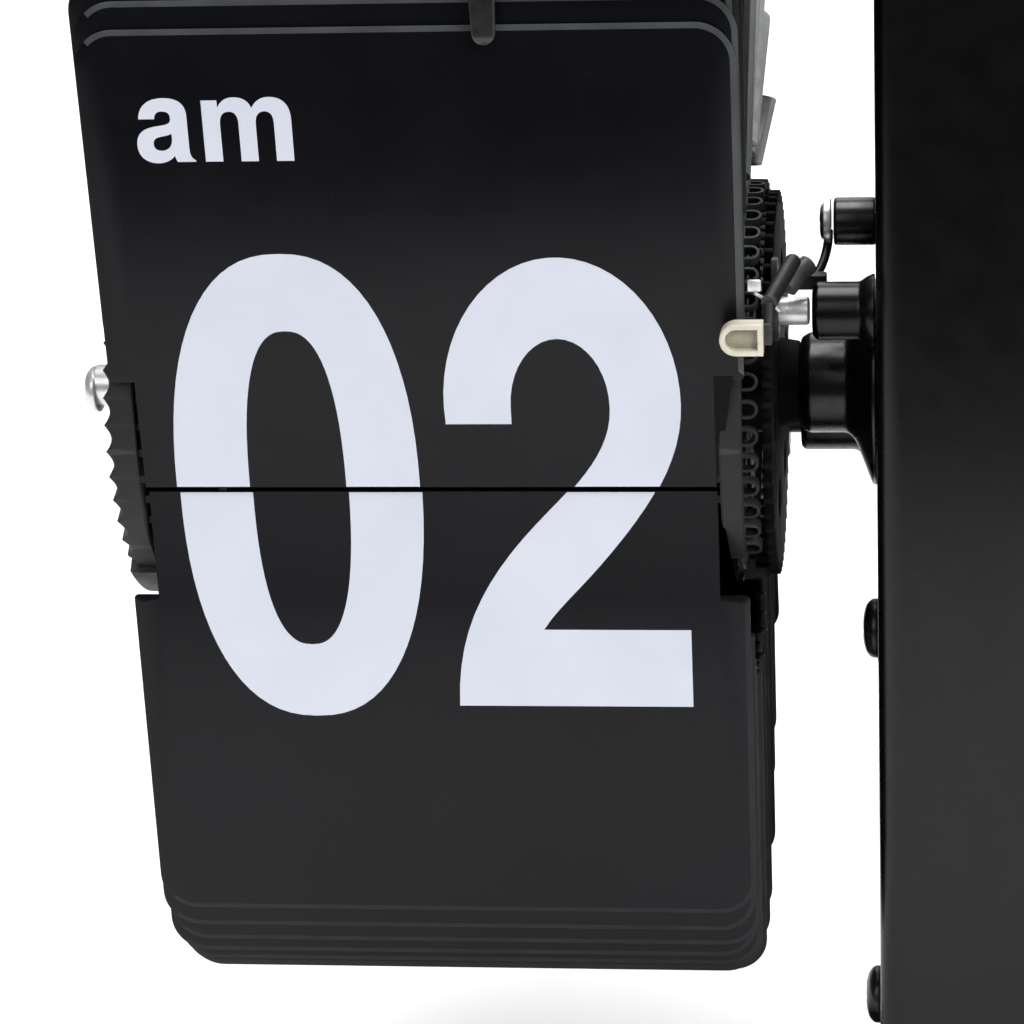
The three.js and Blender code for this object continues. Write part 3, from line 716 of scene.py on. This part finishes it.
def build_leaves(unit, numbers, with_letters):
    """numbers: what the standing leaf 0 shows and what leaf 1 shows behind it."""
    mesh = leaf_mesh()
    places = leaf_places(unit)
    stands_for = {0: "top_leaf", 1: "waiting_leaf", 4: "standing_leaf", -1: "bottom_leaf"}
    for node, cad_lean in (("rear_upper_leaf", 97), ("rear_lower_leaf", 172)):
        nearest = min(range(5, unit.pockets - 1), key=lambda i: abs(places[i][2] - cad_lean))
        stands_for[nearest] = node
    side_play = 0.3
    unmirror = Matrix.Diagonal((unit.side, 1, 1, 1))
    for index, (y, z, lean) in places.items():
        number = index - unit.pockets if index == unit.pockets - 1 else index
        body = "leaf" if number == 0 else "stand"
        label = f"leaf_{index:02d}"
        nodes = [stands_for[number]] if number in stands_for else []
        stand = leaf_matrix(y, z, lean)
        if number not in (0, -1):
            stand = Matrix.Translation((side_play * math.sin(2.4 * index), 0, 0)) @ stand
        # the edges of the front leaves and of the fan's upper half catch the light and get a painted
        # highlight; the others get painted shade
        catches_light = number in (0, 1, 2) or 40 < lean < 100
        finish = (LEAF_BLACK, LEAF_EDGE_HIGHLIGHT if catches_light else LEAF_EDGE_SHADE)
        unit_piece(unit, label, mesh, finish, body, nodes, stand)
        shown = {0: (numbers[0], numbers[1]), 1: (numbers[1], None), -1: (None, numbers[0])}.get(number)
        if not shown:
            continue
        for front, digits in zip((True, False), shown):
            if digits is None:
                continue
            ink = half_print(number_face(digits, with_letters), upper=front)
            place = stand @ print_matrix(front) @ unmirror
            side = "front" if front else "back"
            unit_piece(unit, f"{label}_{side}_print", ink, INK, body, (), place)


# ---- drums --------------------------------------------------------------------------
RIM_RADIUS = 22.6
BORE = 2.7  # the radius of every hole that an axle goes through
GEAR_MODULE = 0.69
GATE = {"post": (38, 83), "far": (43, 83)}  # where a rim lets leaves in, in degrees below the front


def pocket_loop(reach):
    """One pin pocket: a small rounded loop that stands out of the rim's edge, drawn as u, tangent."""
    half, wall, root = 0.98, 0.36, -0.6
    hollow = half - wall
    outer = Outline(root, -half)
    outer.line((reach - half, -half))
    outer.arc((reach - half, 0), (half, half), -90, 90, 10)
    outer.line((root, half))
    inner = Outline(0.1, -hollow)
    inner.line((reach - half, -hollow))
    inner.arc((reach - half, 0), (hollow, hollow), -90, 90, 8)
    inner.line((0.1, hollow))
    return plate([outer.points, inner.points], -0.6, 0.6, bevel=0.1, steps=1)


def sector_ring(u_low, u_high, inner, outer, start, end, crown=None):
    """Part of a ring round the axle between two angles below the front.

    crown(angle) adds to its far edge.
    """
    steps, soft = max(8, round((end - start) * 2)), 0.2
    work = bmesh.new()
    sections = []
    for i in range(steps + 1):
        angle = start + (end - start) * i / steps
        turn = math.radians(angle)
        top = u_high + (crown(angle) if crown else 0)
        corners = ((u_low, inner), (u_low, outer - soft), (u_low + soft, outer), (top - soft, outer),
                   (top, outer - soft), (top, inner))
        sections.append([work.verts.new((u, -r * math.cos(turn), -r * math.sin(turn))) for u, r in corners])
    for first, second in zip(sections, sections[1:]):
        for i in range(len(first)):
            j = (i + 1) % len(first)
            work.faces.new((first[i], first[j], second[j], second[i]))
    work.faces.new(sections[0])
    work.faces.new(sections[-1][::-1])
    bmesh.ops.recalc_face_normals(work, faces=work.faces)
    return as_mesh(work)


def cheek_mesh(unit, low, high, far_side):
    """A drum cheek from u = low (its inner face) to high (the end of its hub)."""
    band_end, band_inside = low + 2.4, RIM_RADIUS - 2.3
    gate_start, gate_end = GATE["far" if far_side else "post"]

    def crown(angle):
        point_base, point_height = 0.15, 0.7
        return point_base + point_height * (1 - abs(math.sin(math.radians(angle * 180 / unit.pitch))))

    band = (low, band_end, band_inside, RIM_RADIUS, gate_end, 360 + gate_start)
    parts = [sector_ring(*band, crown if far_side else None)]
    if far_side:
        # the far cheek's pockets are closed: a pointed crown shows, and a smooth shield in the gate
        gap, raised, longer = 0.6, 0.7, 1
        shield = (low, band_end + longer, band_inside, RIM_RADIUS + raised, gate_start + gap, gate_end - gap)
        parts.append(sector_ring(*shield))
    else:
        loop, sunk, margin = pocket_loop(1.75), 0.75, 2
        # a loop is drawn u, tangent, radius, and turned from straight up to its place below the front
        stand = Matrix.Translation((band_end, 0, RIM_RADIUS - sunk))
        for i in range(unit.pockets):
            angle = (i + 0.5) * unit.pitch
            if not gate_start - margin < angle < gate_end + margin:
                parts.append(moved(loop, Matrix.Rotation(math.radians(90 + angle), 4, "X") @ stand))
    gaps, half_spoke, taper, inner, outer = [], 9, 6, 8.6, 18.2
    for turn in range(0, 360, 60):
        start, end = turn + half_spoke, turn + 60 - half_spoke
        corner = math.radians(start + taper)
        gap = Outline(inner * math.cos(corner), inner * math.sin(corner))
        gap.arc((0, 0), (outer, outer), start, end, 14)
        gap.arc((0, 0), (inner, inner), end - taper, start + taper, 10)
        gaps.append(gap.points)
    web = plate([circle(band_inside + 0.4, 96), circle(BORE, 32), *gaps], low + 0.5, low + 1.7, 0.15)
    hub_radius = 5.5
    hub = [(low, BORE), (low, hub_radius), (high, hub_radius), (high, BORE)]
    return merged(*parts, moved(web, ALONG_U), turned(hub, 0.3))


def flange_mesh(low):
    """A disc inside a cheek's band that keeps the leaves' edges from wandering."""
    inside, outside = 6, RIM_RADIUS - 2.2
    profile = [(low - 0.45, inside), (low - 0.45, outside - 0.7), (low + 0.4, outside), (low + 0.4, inside)]
    return turned(profile, 0.15, 96)


def toothed(teeth, root, tip, root_share, tip_share):
    """A gear outline with rounded tooth tips."""
    points = []
    pitch = 2 * math.pi / teeth
    for i in range(teeth):
        middle = i * pitch
        flank = [(root, -root_share / 2), (tip - 0.12, -tip_share / 2 - 0.02), (tip, -tip_share / 4),
                 (tip, tip_share / 4), (tip - 0.12, tip_share / 2 + 0.02), (root, root_share / 2)]
        for radius, share in flank:
            angle = middle + share * pitch
            points.append((radius * math.cos(angle), radius * math.sin(angle)))
    return points


def build_drum(unit):
    low, high = unit.box("drum_cheek_post_side")
    far_low, far_high = unit.box("drum_cheek_far_side")
    inset = 0.55  # the far cheek and the narrow part of the leaves stand a little nearer the middle
    for side, start, end in (
        ("post_side", low.x, high.x),
        ("far_side", -far_high.x - inset, -far_low.x),
    ):
        far_side = side == "far_side"
        turn = Matrix.Diagonal((-1 if far_side else 1, 1, 1, 1))
        cheek = moved(cheek_mesh(unit, start, end, far_side), turn)
        node = f"drum_cheek_{side}"
        unit_piece(unit, node, cheek, DRUM_GREY, "drum", [node], sharp=28)
        # the flange is dull black: painted shade in the gap between the band and the leaves' edges
        flange = moved(flange_mesh(start), turn)
        unit_piece(unit, f"drum_flange_{side}", flange, DULL_BLACK, "drum")

    low, high = unit.box("drum_core")
    outer, waist, end_length, ribs = 7, 6.2, 2, 6
    profile = [(low.x, BORE), (low.x, outer), (low.x + end_length, outer)]
    span = (high.x - low.x - 2 * end_length) / ribs
    for i in range(ribs):
        start = low.x + end_length + span * i
        profile += [(start + 0.5, waist), (start + span - 0.5, waist), (start + span, outer)]
    profile += [(high.x, outer), (high.x, BORE)]
    unit_piece(unit, "drum_core", turned(profile, 0.25), DRUM_GREY, "drum", ["drum_core"])

    low, high = unit.box("drum_gear")
    teeth, hole_circle, hole_radius = 60, 13, 2.2
    pitch_radius = teeth / 2 * GEAR_MODULE
    outline = toothed(teeth, pitch_radius - 1.1 * GEAR_MODULE, pitch_radius + 0.8 * GEAR_MODULE, 0.56, 0.24)
    angles = (math.radians(turn) for turn in range(0, 360, 60))
    centres = ((hole_circle * math.cos(a), hole_circle * math.sin(a)) for a in angles)
    holes = [circle(hole_radius, 24, centre) for centre in centres]
    wheel = moved(plate([outline, circle(BORE, 32), *holes], low.x, high.x, 0.08, 1), ALONG_U)
    start, end = high.x - 0.1, unit.box("axle_boss")[0].x - 0.06
    collar = turned([(start, BORE), (start, 5), (end, 4.6), (end, BORE)], 0.3)
    unit_piece(unit, "drum_gear", merged(wheel, collar), DULL_BLACK, "drum", ["drum_gear"],
               sharp=25)


# ---- what stands between a drum and the post ----------------------------------------
def screw_head(radius, height, driver):
    """A pan head that sits on x = 0 and looks along +X, with a slot or a cross cut in it."""
    dome = [(0, 0), (0, radius), (height * 0.45, radius), (height * 0.8, radius * 0.82),
            (height, radius * 0.45), (height, 0)]
    head = turned(dome, radius * 0.2, 40, closed=False)
    if driver == "slot":
        bottom, arms = height * 0.45, ((radius + 1, radius * 0.13),)
    else:
        arm, half = radius * 0.55, radius * 0.12
        bottom, arms = height * 0.35, ((arm, half), (half, arm))
    return carved(head, *(block((bottom, -y, -z), (height + 1, y, z)) for y, z in arms))


def round_node(unit, node):
    """Where a round CAD node starts and ends along u, its radius, and the matrix to its axis."""
    low, high = unit.box(node)
    middle = (low + high) / 2
    return low.x, high.x, (high.z - low.z) / 2, Matrix.Translation((0, middle.y, middle.z))


def build_boss(unit):
    start, end, _, _ = round_node(unit, "axle_boss")
    barrel = 5.55
    profile = [(start, BORE), (start, 4.9), (start + 0.5, 5.3), (start + 1.0, barrel), (start + 5.2, barrel),
               (start + 6.0, 6.4), (start + 7.0, 9.0), (end - 0.5, 11.3), (end, 11.4), (end, BORE)]
    unit_piece(unit, "axle_boss", turned(profile, 0.5, 72), BOSS_BLACK, "stand", ["axle_boss"])
    low, high = unit.box("axle")
    axle = round_bar(low.x, high.x, high.y, 0.3)
    unit_piece(unit, "axle", axle, STEEL, "stand", ["axle"])


def build_drive(unit):
    """The pinion that drives the drum gear, its dark shaft, and the bushing the shaft runs in."""
    start, end, _, place = round_node(unit, "drive_pinion")
    teeth, tooth_length, shaft_radius = 12, 0.8, 1.9
    pitch_radius = teeth / 2 * GEAR_MODULE
    outline = toothed(teeth, pitch_radius - 1.15 * GEAR_MODULE, pitch_radius + 0.75 * GEAR_MODULE, 0.5, 0.2)
    pinion = moved(plate([outline], start, start + tooth_length, 0.06, 1), ALONG_U)
    shaft = round_bar(start + tooth_length - 0.1, end, shaft_radius, 0.2)
    unit_piece(unit, "drive_pinion", merged(pinion, shaft), DARK_STEEL, "drive",
               ["drive_pinion"], place)
    start, end, bore, nose = 37.4, unit.box("axle_boss")[1].x, 2.2, 3.9
    bushing = [(start, bore), (start, 3.5), (start + 0.5, nose), (end - 3, nose), (end - 1.5, 4.8),
               (end, 6.4), (end, bore)]
    unit_piece(unit, "shaft_bushing", turned(bushing, 0.4), BOSS_BLACK, "stand", (), place)


def build_rods(unit):
    """The sleeve with the catch pin in it, and the rod that holds the blade spring."""
    start, end, radius, place = round_node(unit, "catch_sleeve")
    bore = 1.4
    profile = [(start, bore), (start, radius - 0.5), (start + 0.5, radius), (end - 1.6, radius),
               (end - 0.9, radius + 0.5), (end, radius + 0.9), (end, bore)]
    unit_piece(unit, "catch_sleeve", turned(profile, 0.25), PAINT, "stand", ["catch_sleeve"],
               place)
    start, end, radius, _ = round_node(unit, "catch_pin")
    pin = round_bar(start, end, radius, 0.35)
    unit_piece(unit, "catch_pin", pin, STEEL, "stand", ["catch_pin"], place)
    start, end, radius, place = round_node(unit, "spring_rod")
    rod = round_bar(start, end, radius, 0.4, 48)
    unit_piece(unit, "spring_rod", rod, BOSS_BLACK, "stand", ["spring_rod"], place)


def catch_points(unit):
    """The end of the catch pin on its axis, and the middle of the catch tip's end towards the post."""
    low, high = unit.box("catch_pin")
    pin = Vector((low.x, (low.y + high.y) / 2, (low.z + high.z) / 2))
    low, high = unit.box("catch_tip")
    return pin, Vector((high.x, (low.y + high.y) / 2, (low.z + high.z) / 2))


def build_catch_tip(unit):
    """The cream cup at the lever's end, and a thin darker cream sheet on the floor of its recess: painted
    shade.
    """
    low, high = unit.box("catch_tip")
    half_width, half_tall = (high.x - low.x) / 2, (high.z - low.z) / 2

    def cup(inset):
        """The tip's outline: round towards the drum's middle, square towards the post."""
        width, tall = half_width - inset, half_tall - inset
        shape = Outline(width, -tall)
        shape.line((width, tall))
        shape.arc((-width + tall, 0), (tall, tall), 90, 270, 16)
        return shape.points

    back = plate([cup(0)], -1.0, -0.1, 0.15)
    rim = plate([cup(0), cup(0.6)], -0.2, 1.0, 0.15)
    place = Matrix.Translation((low + high) / 2) @ FACING_FRONT
    unit_piece(unit, "catch_tip", merged(back, rim), CREAM, "catch", ["catch_tip"], place)
    # a thin darker sheet on the floor of the cup's recess: painted shade where the recess lies in shadow
    pad = plate([cup(0.55)], -0.2, 0.1, 0.05)
    unit_piece(unit, "catch_tip_recess_shade", pad, CREAM_PAINTED_SHADE, "catch", (), place)


def build_catch_lever(unit):
    """A hub on the pin, a tail across its back, and a bar that bends down to the tip."""
    pin, tip = catch_points(unit)
    start, end, radius, bore = -0.4, 0.25, 3.2, 1.6
    outline = Outline(-radius, 0)
    outline.arc((0, 0), (radius, radius), 180, 360, 24)
    outline.line((5.0, 1.2), (5.0, 2.7), (1.2, 3.4), (-0.8, 6.2), (-2.6, 6.4), (-3.0, 4.0))
    hub = moved(plate([outline.points, circle(bore, 32)], start, end, 0.1), ALONG_U)
    hub.transform(Matrix.Translation(pin))
    foot, head = tip + Vector((0.5, 2.2, 3.0)), pin + Vector((2.0, -3.6, 6.6))
    bar = wire([foot, foot.lerp(head, 0.4), foot.lerp(head, 0.8), head], 0.85, 6)
    side_bar = wire(from_point(pin, (1.2, -1.6, 3.0), (2.3, -0.4, 4.2), (3.4, 0.8, 4.9)), 1.1, 6)
    grip = bevelled(block(*from_point(tip, (-0.9, 0.5, -1.0), (0.9, 1.4, 1.3))), 0.25)
    elbow = wire([*from_point(tip, (0.4, 1.0, 0.6), (0.6, 1.5, 1.6), (0.5, 2.0, 2.4)), foot], 0.6, 5)
    reach = unit.box("catch_lever")[1].x - pin.x
    tail = bevelled(block(*from_point(pin, (start, 3.6, 1.2), (reach, 5.2, 2.8))), 0.2)
    unit_piece(unit, "catch_lever", merged(hub, bar, side_bar, grip, elbow, tail), LEVER_GREY, "catch",
               ["catch_lever"])


def build_catch_spring(unit):
    """A torsion spring round the pin, whose legs cross in front of the lever, and its bright anchor tab."""
    pin, tip = catch_points(unit)
    turns, coil_radius, wire_radius, rise, steps, first = 2.5, 1.75, 0.19, 0.42, 60, math.radians(200)
    coil = []
    for i in range(steps + 1):
        angle = 2 * math.pi * turns * i / steps + first
        along = rise * turns * i / steps - 1.6
        coil.append(pin + Vector((along, coil_radius * math.cos(angle), coil_radius * math.sin(angle))))
    cross = tip + Vector((0.7, 3.4, 2.6))
    legs = (
        [coil[0], cross, cross + Vector((-1.6, -1.2, 1.5))],
        [coil[-1], cross + Vector((0.7, 0.5, -0.9)), cross, cross + Vector((-0.9, -0.8, -1.9))],
    )
    spring = merged(wire(coil, wire_radius, 3), *(wire(leg, wire_radius, 3, smooth=False) for leg in legs))
    unit_piece(unit, "catch_spring", spring, STEEL, "catch")
    anchor = bevelled(block(*from_point(tip, (-1.7, 2.6, 4.1), (-0.3, 3.1, 5.3))), 0.15)
    unit_piece(unit, "catch_spring_anchor", anchor, STEEL, "catch")


def build_blade_spring(unit):
    """The blade that hangs from the spring rod's end and presses on the lever's back."""
    low, high = unit.box("blade_spring")
    rod = round_node(unit, "spring_rod")[3].translation
    foot = catch_points(unit)[0] + Vector((0, 6.2, 0.9))
    strip = wire([
        (high.x - 0.3, rod.y, rod.z - 1),
        (high.x - 0.2, rod.y - 1.2, rod.z - 2.6),
        (low.x, foot.y + 1.2, foot.z + 1.3),
        (low.x - 1.6, foot.y, foot.z),
    ], 0.5, 4)
    unit_piece(unit, "blade_spring", strip, DARK_STEEL, "stand", ["blade_spring"])
    washer = plate([circle(high.z - rod.z, 40), circle(1.2, 24)], low.x, high.x, 0.12)
    washer = moved(washer, Matrix.Translation(rod) @ ALONG_U)
    unit_piece(unit, "blade_washer", washer, STEEL, "stand")
    place = Matrix.Translation((low.x, rod.y, rod.z)) @ HALF_TURN
    unit_piece(unit, "blade_screw", screw_head(1.9, 0.45, "slot"), DARK_STEEL, "stand", (),
               place)


def build_finger(unit):
    low, high = unit.box("leaf_finger")
    middle = (low.x + high.x) / 2
    tip_radius = 1.2
    shape = Outline(low.x, high.z)
    shape.line((middle - tip_radius, low.z + tip_radius))
    shape.arc((middle, low.z + tip_radius), (tip_radius, tip_radius), 180, 360, 14)
    shape.line((high.x, high.z))
    strip = plate([shape.points], -high.y, -low.y, 0.25)
    unit_piece(unit, "leaf_finger", strip, DARK_STEEL, "stand", ["leaf_finger"], FACING_FRONT)

    low, high = unit.box("finger_arm")
    bar = rounded_box(low.x, high.x, low.z, high.z, 0.9)
    arm = plate([bar], -low.y - 1, -low.y, 0.2)
    foot = block((high.x - 1, low.y, low.z), (high.x, high.y, high.z))
    mesh = merged(moved(arm, FACING_FRONT), bevelled(foot, 0.2))
    unit_piece(unit, "finger_arm", mesh, DARK_STEEL, "stand", ["finger_arm"])
    for along in (4, 8):
        place = Matrix.Translation((high.x - 1.0, high.y - along, (low.z + high.z) / 2))
        head = moved(screw_head(1.1, 0.9, "cross"), HALF_TURN)
        unit_piece(unit, f"finger_arm_screw_{along}", head, DARK_STEEL, "stand", (), place)


# ---- post, base and what is inside --------------------------------------------------
def grooves(half_width, half_height, heights, face, depth):
    """Cutters for level grooves with round ends in a face that looks back at y = face."""
    cutters = []
    for z in heights:
        outline = rounded_box(-half_width, half_width, z - half_height, z + half_height, half_height - 0.01)
        cutters.append(moved(plate([outline], -face - 1, -face + depth), FACING_FRONT))
    return cutters


def build_post():
    low, high = cad_box("post_shell")
    wall, corner = 1.5, 3
    half = high.x
    front, back = low.y, high.y
    fold = Outline(half, back)
    fold.line((half - wall, back), (half - wall, front + corner))
    fold.arc((half - corner, front + corner), (corner - wall, corner - wall), 0, -90, 8)
    fold.arc((-half + corner, front + corner), (corner - wall, corner - wall), -90, -180, 8)
    fold.line((-half + wall, back), (-half, back), (-half, front + corner))
    fold.arc((-half + corner, front + corner), (corner, corner), 180, 270, 12)
    fold.arc((half - corner, front + corner), (corner, corner), 270, 360, 12)
    shell = plate([fold.points], low.z, high.z, 0.15)
    piece("post_shell_look", shell, PAINT, "stand", ["post_shell"])

    low, high = cad_box("post_top_cap")
    cap = plate([rounded_box(low.x, high.x, low.y, high.y, corner, 8)], low.z, high.z, 0.5, 3)
    piece("post_top_cap_look", cap, PAINT, "stand", ["post_top_cap"])

    low, high = cad_box("post_back_cover")
    cover = plate([rounded_box(low.x, high.x, low.z, high.z, 1.2)], -high.y, -low.y, 0.35)
    vents = grooves(9, 0.8, (high.z - 18 - 4.2 * i for i in range(7)), high.y, 0.7)
    piece("post_back_cover_look", carved(moved(cover, FACING_FRONT), *vents), PAINT, "stand",
          ["post_back_cover"])
    for side, x in (("left", low.x + 4), ("right", high.x - 4)):
        for level, z in (("lower", low.z + 5), ("upper", high.z - 5)):
            place = Matrix.Translation((x, high.y - 0.1, z)) @ Matrix.Rotation(math.pi / 2, 4, "Z")
            piece(f"cover_screw_{side}_{level}_look", screw_head(1.7, 1.1, "cross"), DARK_STEEL, "stand",
                  (), place)

    low, high = cad_box("battery_door")
    panel_back = high.y - 1.8
    panel = plate([rounded_box(low.x, high.x, low.z, high.z, 1.2)], -panel_back, -low.y, 0.35)
    grips = grooves(7, 0.5, (high.z - 9 - 2.4 * i for i in range(5)), panel_back, 0.5)
    lip = bevelled(block((-8, panel_back - 0.4, high.z - 4), (8, high.y, high.z - 1.5)), 0.4)
    door = merged(carved(moved(panel, FACING_FRONT), *grips), lip)
    piece("battery_door_look", door, PAINT, "battery_door", ["battery_door"])

    washer = turned([(-0.25, 0.5), (-0.25, 3.9), (0.15, 3.9), (0.15, 0.5)], 0.1, 40)
    for side in ("left", "right"):
        for level in ("upper", "lower"):
            node = f"{side}_side_screw_{level}"
            low, high = cad_box(node)
            centre = (low + high) / 2
            head = screw_head((high.z - low.z) / 2, high.x - low.x, "cross")
            start, turn = (low.x, Matrix.Identity(4)) if side == "right" else (high.x, HALF_TURN)
            place = Matrix.Translation((start, centre.y, centre.z)) @ turn
            piece(f"{node}_look", merged(head, washer), DARK_STEEL, "stand", [node], place)


def build_base():
    low, high = cad_box("base_plate")
    base = plate([rounded_box(low.x, high.x, low.y, high.y, 9, 12)], low.z, high.z, 0.8, 4)
    piece("base_plate_look", base, PAINT, "stand", ["base_plate"])
    low, high = cad_box("base_pad")
    pad = plate([rounded_box(low.x, high.x, low.y, high.y, 6, 10)], low.z, high.z, 0.3)
    piece("base_pad_look", pad, RUBBER, "stand", ["base_pad"])


def upright(node):
    """A standing round node's low and high z, its radius, and the matrix that stands a lathe on its axis."""
    low, high = cad_box(node)
    centre = (low + high) / 2
    stand = Matrix.Translation((centre.x, centre.y, 0)) @ Matrix.Rotation(-math.pi / 2, 4, "Y")
    return low.z, high.z, (high.x - low.x) / 2, stand


def build_movement():
    low, high = cad_box("movement_gearbox")
    box = bevelled(block(low, high), 1.2, 3)
    seam = plate([rounded_box(low.x - 0.4, high.x + 0.4, low.y - 0.3, high.y + 0.3, 1.2)], 103, 104.2, 0.2)
    piece("movement_gearbox_look", merged(box, seam), MOVEMENT_WHITE, "stand",
          ["movement_gearbox"])

    bottom, top, radius, place = upright("movement_motor")
    can = [(bottom, 0), (bottom, radius - 0.5), (bottom + 0.6, radius), (top - 1.5, radius),
           (top, radius - 1.2), (top, 3.2), (top + 0.8, 3.0), (top + 0.8, 0)]
    piece("movement_motor_look", turned(can, 0.4, 64, closed=False), ZINC, "stand",
          ["movement_motor"], place)

    bottom, top, radius, place = upright("battery_cell")
    cell = [(bottom, 0), (bottom, radius - 1), (bottom + 0.6, radius), (top - 2.6, radius),
            (top - 2, radius - 1), (top - 2, 3), (top, 2.8), (top, 0)]
    piece("battery_cell_look", turned(cell, 0.4, 64, closed=False), JACKET, "stand",
          ["battery_cell"], place)


# ---- finishes of the CAD nodes that stay --------------------------------------------
def finish_cad_nodes():
    for name in ("battery_lower_contact", "battery_upper_contact"):
        node = frame["nodes"][name]
        node.data.materials.clear()
        node.data.materials.append(ZINC)


def build_knob():
    low, high = MINUTE.box("setting_knob")
    radius, grip, groove, ribs = 9, 5, 0.45, 40
    outline = []
    for i in range(4 * ribs):
        angle = 2 * math.pi * i / (4 * ribs)
        reach = radius - (groove if i % 4 >= 2 else 0)
        outline.append((reach * math.cos(angle), reach * math.sin(angle)))
    ring = moved(plate([outline, circle(5.6, 48)], low.x, low.x + grip, 0.35), ALONG_U)
    cap = turned([(low.x + 0.4, 0), (low.x + 0.4, 4.5), (low.x + 0.9, 5.8), (low.x + 3.6, 5.8),
                  (low.x + 4.2, 5), (high.x, 5), (high.x, 2.9)], 0.4, closed=False)
    unit_piece(MINUTE, "setting_knob", merged(ring, cap), BLACK_PLASTIC, "drum",
               ["setting_knob"])


def build_axle_screw():
    low, high = HOUR.box("axle_screw")
    forward, drop, slot_turn = 0.8, 0.5, math.radians(80)
    place = Matrix.Translation((high.x + forward, (low.y + high.y) / 2, (low.z + high.z) / 2 - drop))
    place = place @ HALF_TURN @ Matrix.Rotation(slot_turn, 4, "X")
    head = screw_head((high.z - low.z) / 2, high.x - low.x, "slot")
    unit_piece(HOUR, "axle_screw", head, STEEL, "stand", ["axle_screw"], place)


# ---- assembly -----------------------------------------------------------------------
def build_clock():
    build_base()
    build_post()
    build_movement()
    for unit in UNITS:
        build_drum(unit)
        build_boss(unit)
        build_drive(unit)
        build_rods(unit)
        build_catch_tip(unit)
        build_catch_lever(unit)
        build_catch_spring(unit)
        build_blade_spring(unit)
        build_finger(unit)
    build_leaves(HOUR, ("02", "03"), with_letters=True)
    build_leaves(MINUTE, ("32", "33"), with_letters=False)
    build_axle_screw()
    build_knob()
    finish_cad_nodes()


# ---- floor, light and camera --------------------------------------------------------
def build_stage():
    scene = bpy.context.scene
    scene.view_settings.view_transform = "Standard"
    world = bpy.data.worlds.new("studio")
    world.use_nodes = True
    world.node_tree.nodes["Background"].inputs["Color"].default_value = (0.92, 0.95, 1, 1)
    world.node_tree.nodes["Background"].inputs["Strength"].default_value = 0.1
    scene.world = world

    white = material("floor_white", ((0.95, 0.95, 0.95), (0.98, 0.98, 0.98)), (0.6, 0.7), grain=300)
    mesh = bpy.data.meshes.new("floor")
    near, far, side = -0.365, 3.0, 1.6
    mesh.from_pydata([(-side, near, 0), (side, near, 0), (side, far, 0), (-side, far, 0)], [], [(0, 1, 2, 3)])
    mesh.materials.append(white)
    floor = bpy.data.objects.new("floor", mesh)
    scene.collection.objects.link(floor)

    def softbox(name, place, target, size, power):
        light = bpy.data.lights.new(name, "AREA")
        light.shape = "RECTANGLE"
        light.size, light.size_y = size
        light.energy = power
        lamp = bpy.data.objects.new(name, light)
        lamp.location = place
        lamp.rotation_euler = (Vector(target) - Vector(place)).to_track_quat("-Z", "Y").to_euler()
        scene.collection.objects.link(lamp)

    softbox("overhead", (0, 0.25, 1.3), (0, 0.15, 0), (0.9, 0.8), 21)
    softbox("front_left", (-0.6, -1.1, 1.0), (0, 0, 0.1), (0.8, 0.8), 5)
    softbox("front_right", (0.8, -1.0, 0.9), (0, 0, 0.12), (0.6, 0.8), 16)
    softbox("back", (0.2, 1.2, 0.9), (0, 0.2, 0), (1.4, 0.8), 8)


def build_camera():
    pitch, heading, roll = (math.radians(a) for a in (20.81, -5.66, -2.01))
    level = Vector((math.cos(heading), -math.sin(heading), 0))
    forward = Vector((math.sin(heading), math.cos(heading), 0))
    ahead = forward * math.cos(pitch) - Vector((0, 0, math.sin(pitch)))
    above = level.cross(ahead)
    right = math.cos(roll) * level + math.sin(roll) * above
    up = math.cos(roll) * above - math.sin(roll) * level
    camera = bpy.data.cameras.new("camera")
    camera.lens = 114
    camera.sensor_width = 36
    camera.shift_x = -0.125
    camera.clip_start = 0.01
    thing = bpy.data.objects.new("camera", camera)
    turn = Matrix((right, up, -ahead)).transposed().to_4x4()
    thing.matrix_world = Matrix.Translation((-0.0104, -0.3406, 0.2197)) @ turn
    bpy.context.scene.collection.objects.link(thing)
    bpy.context.scene.camera = thing


build_camera()
build_clock()
build_stage()
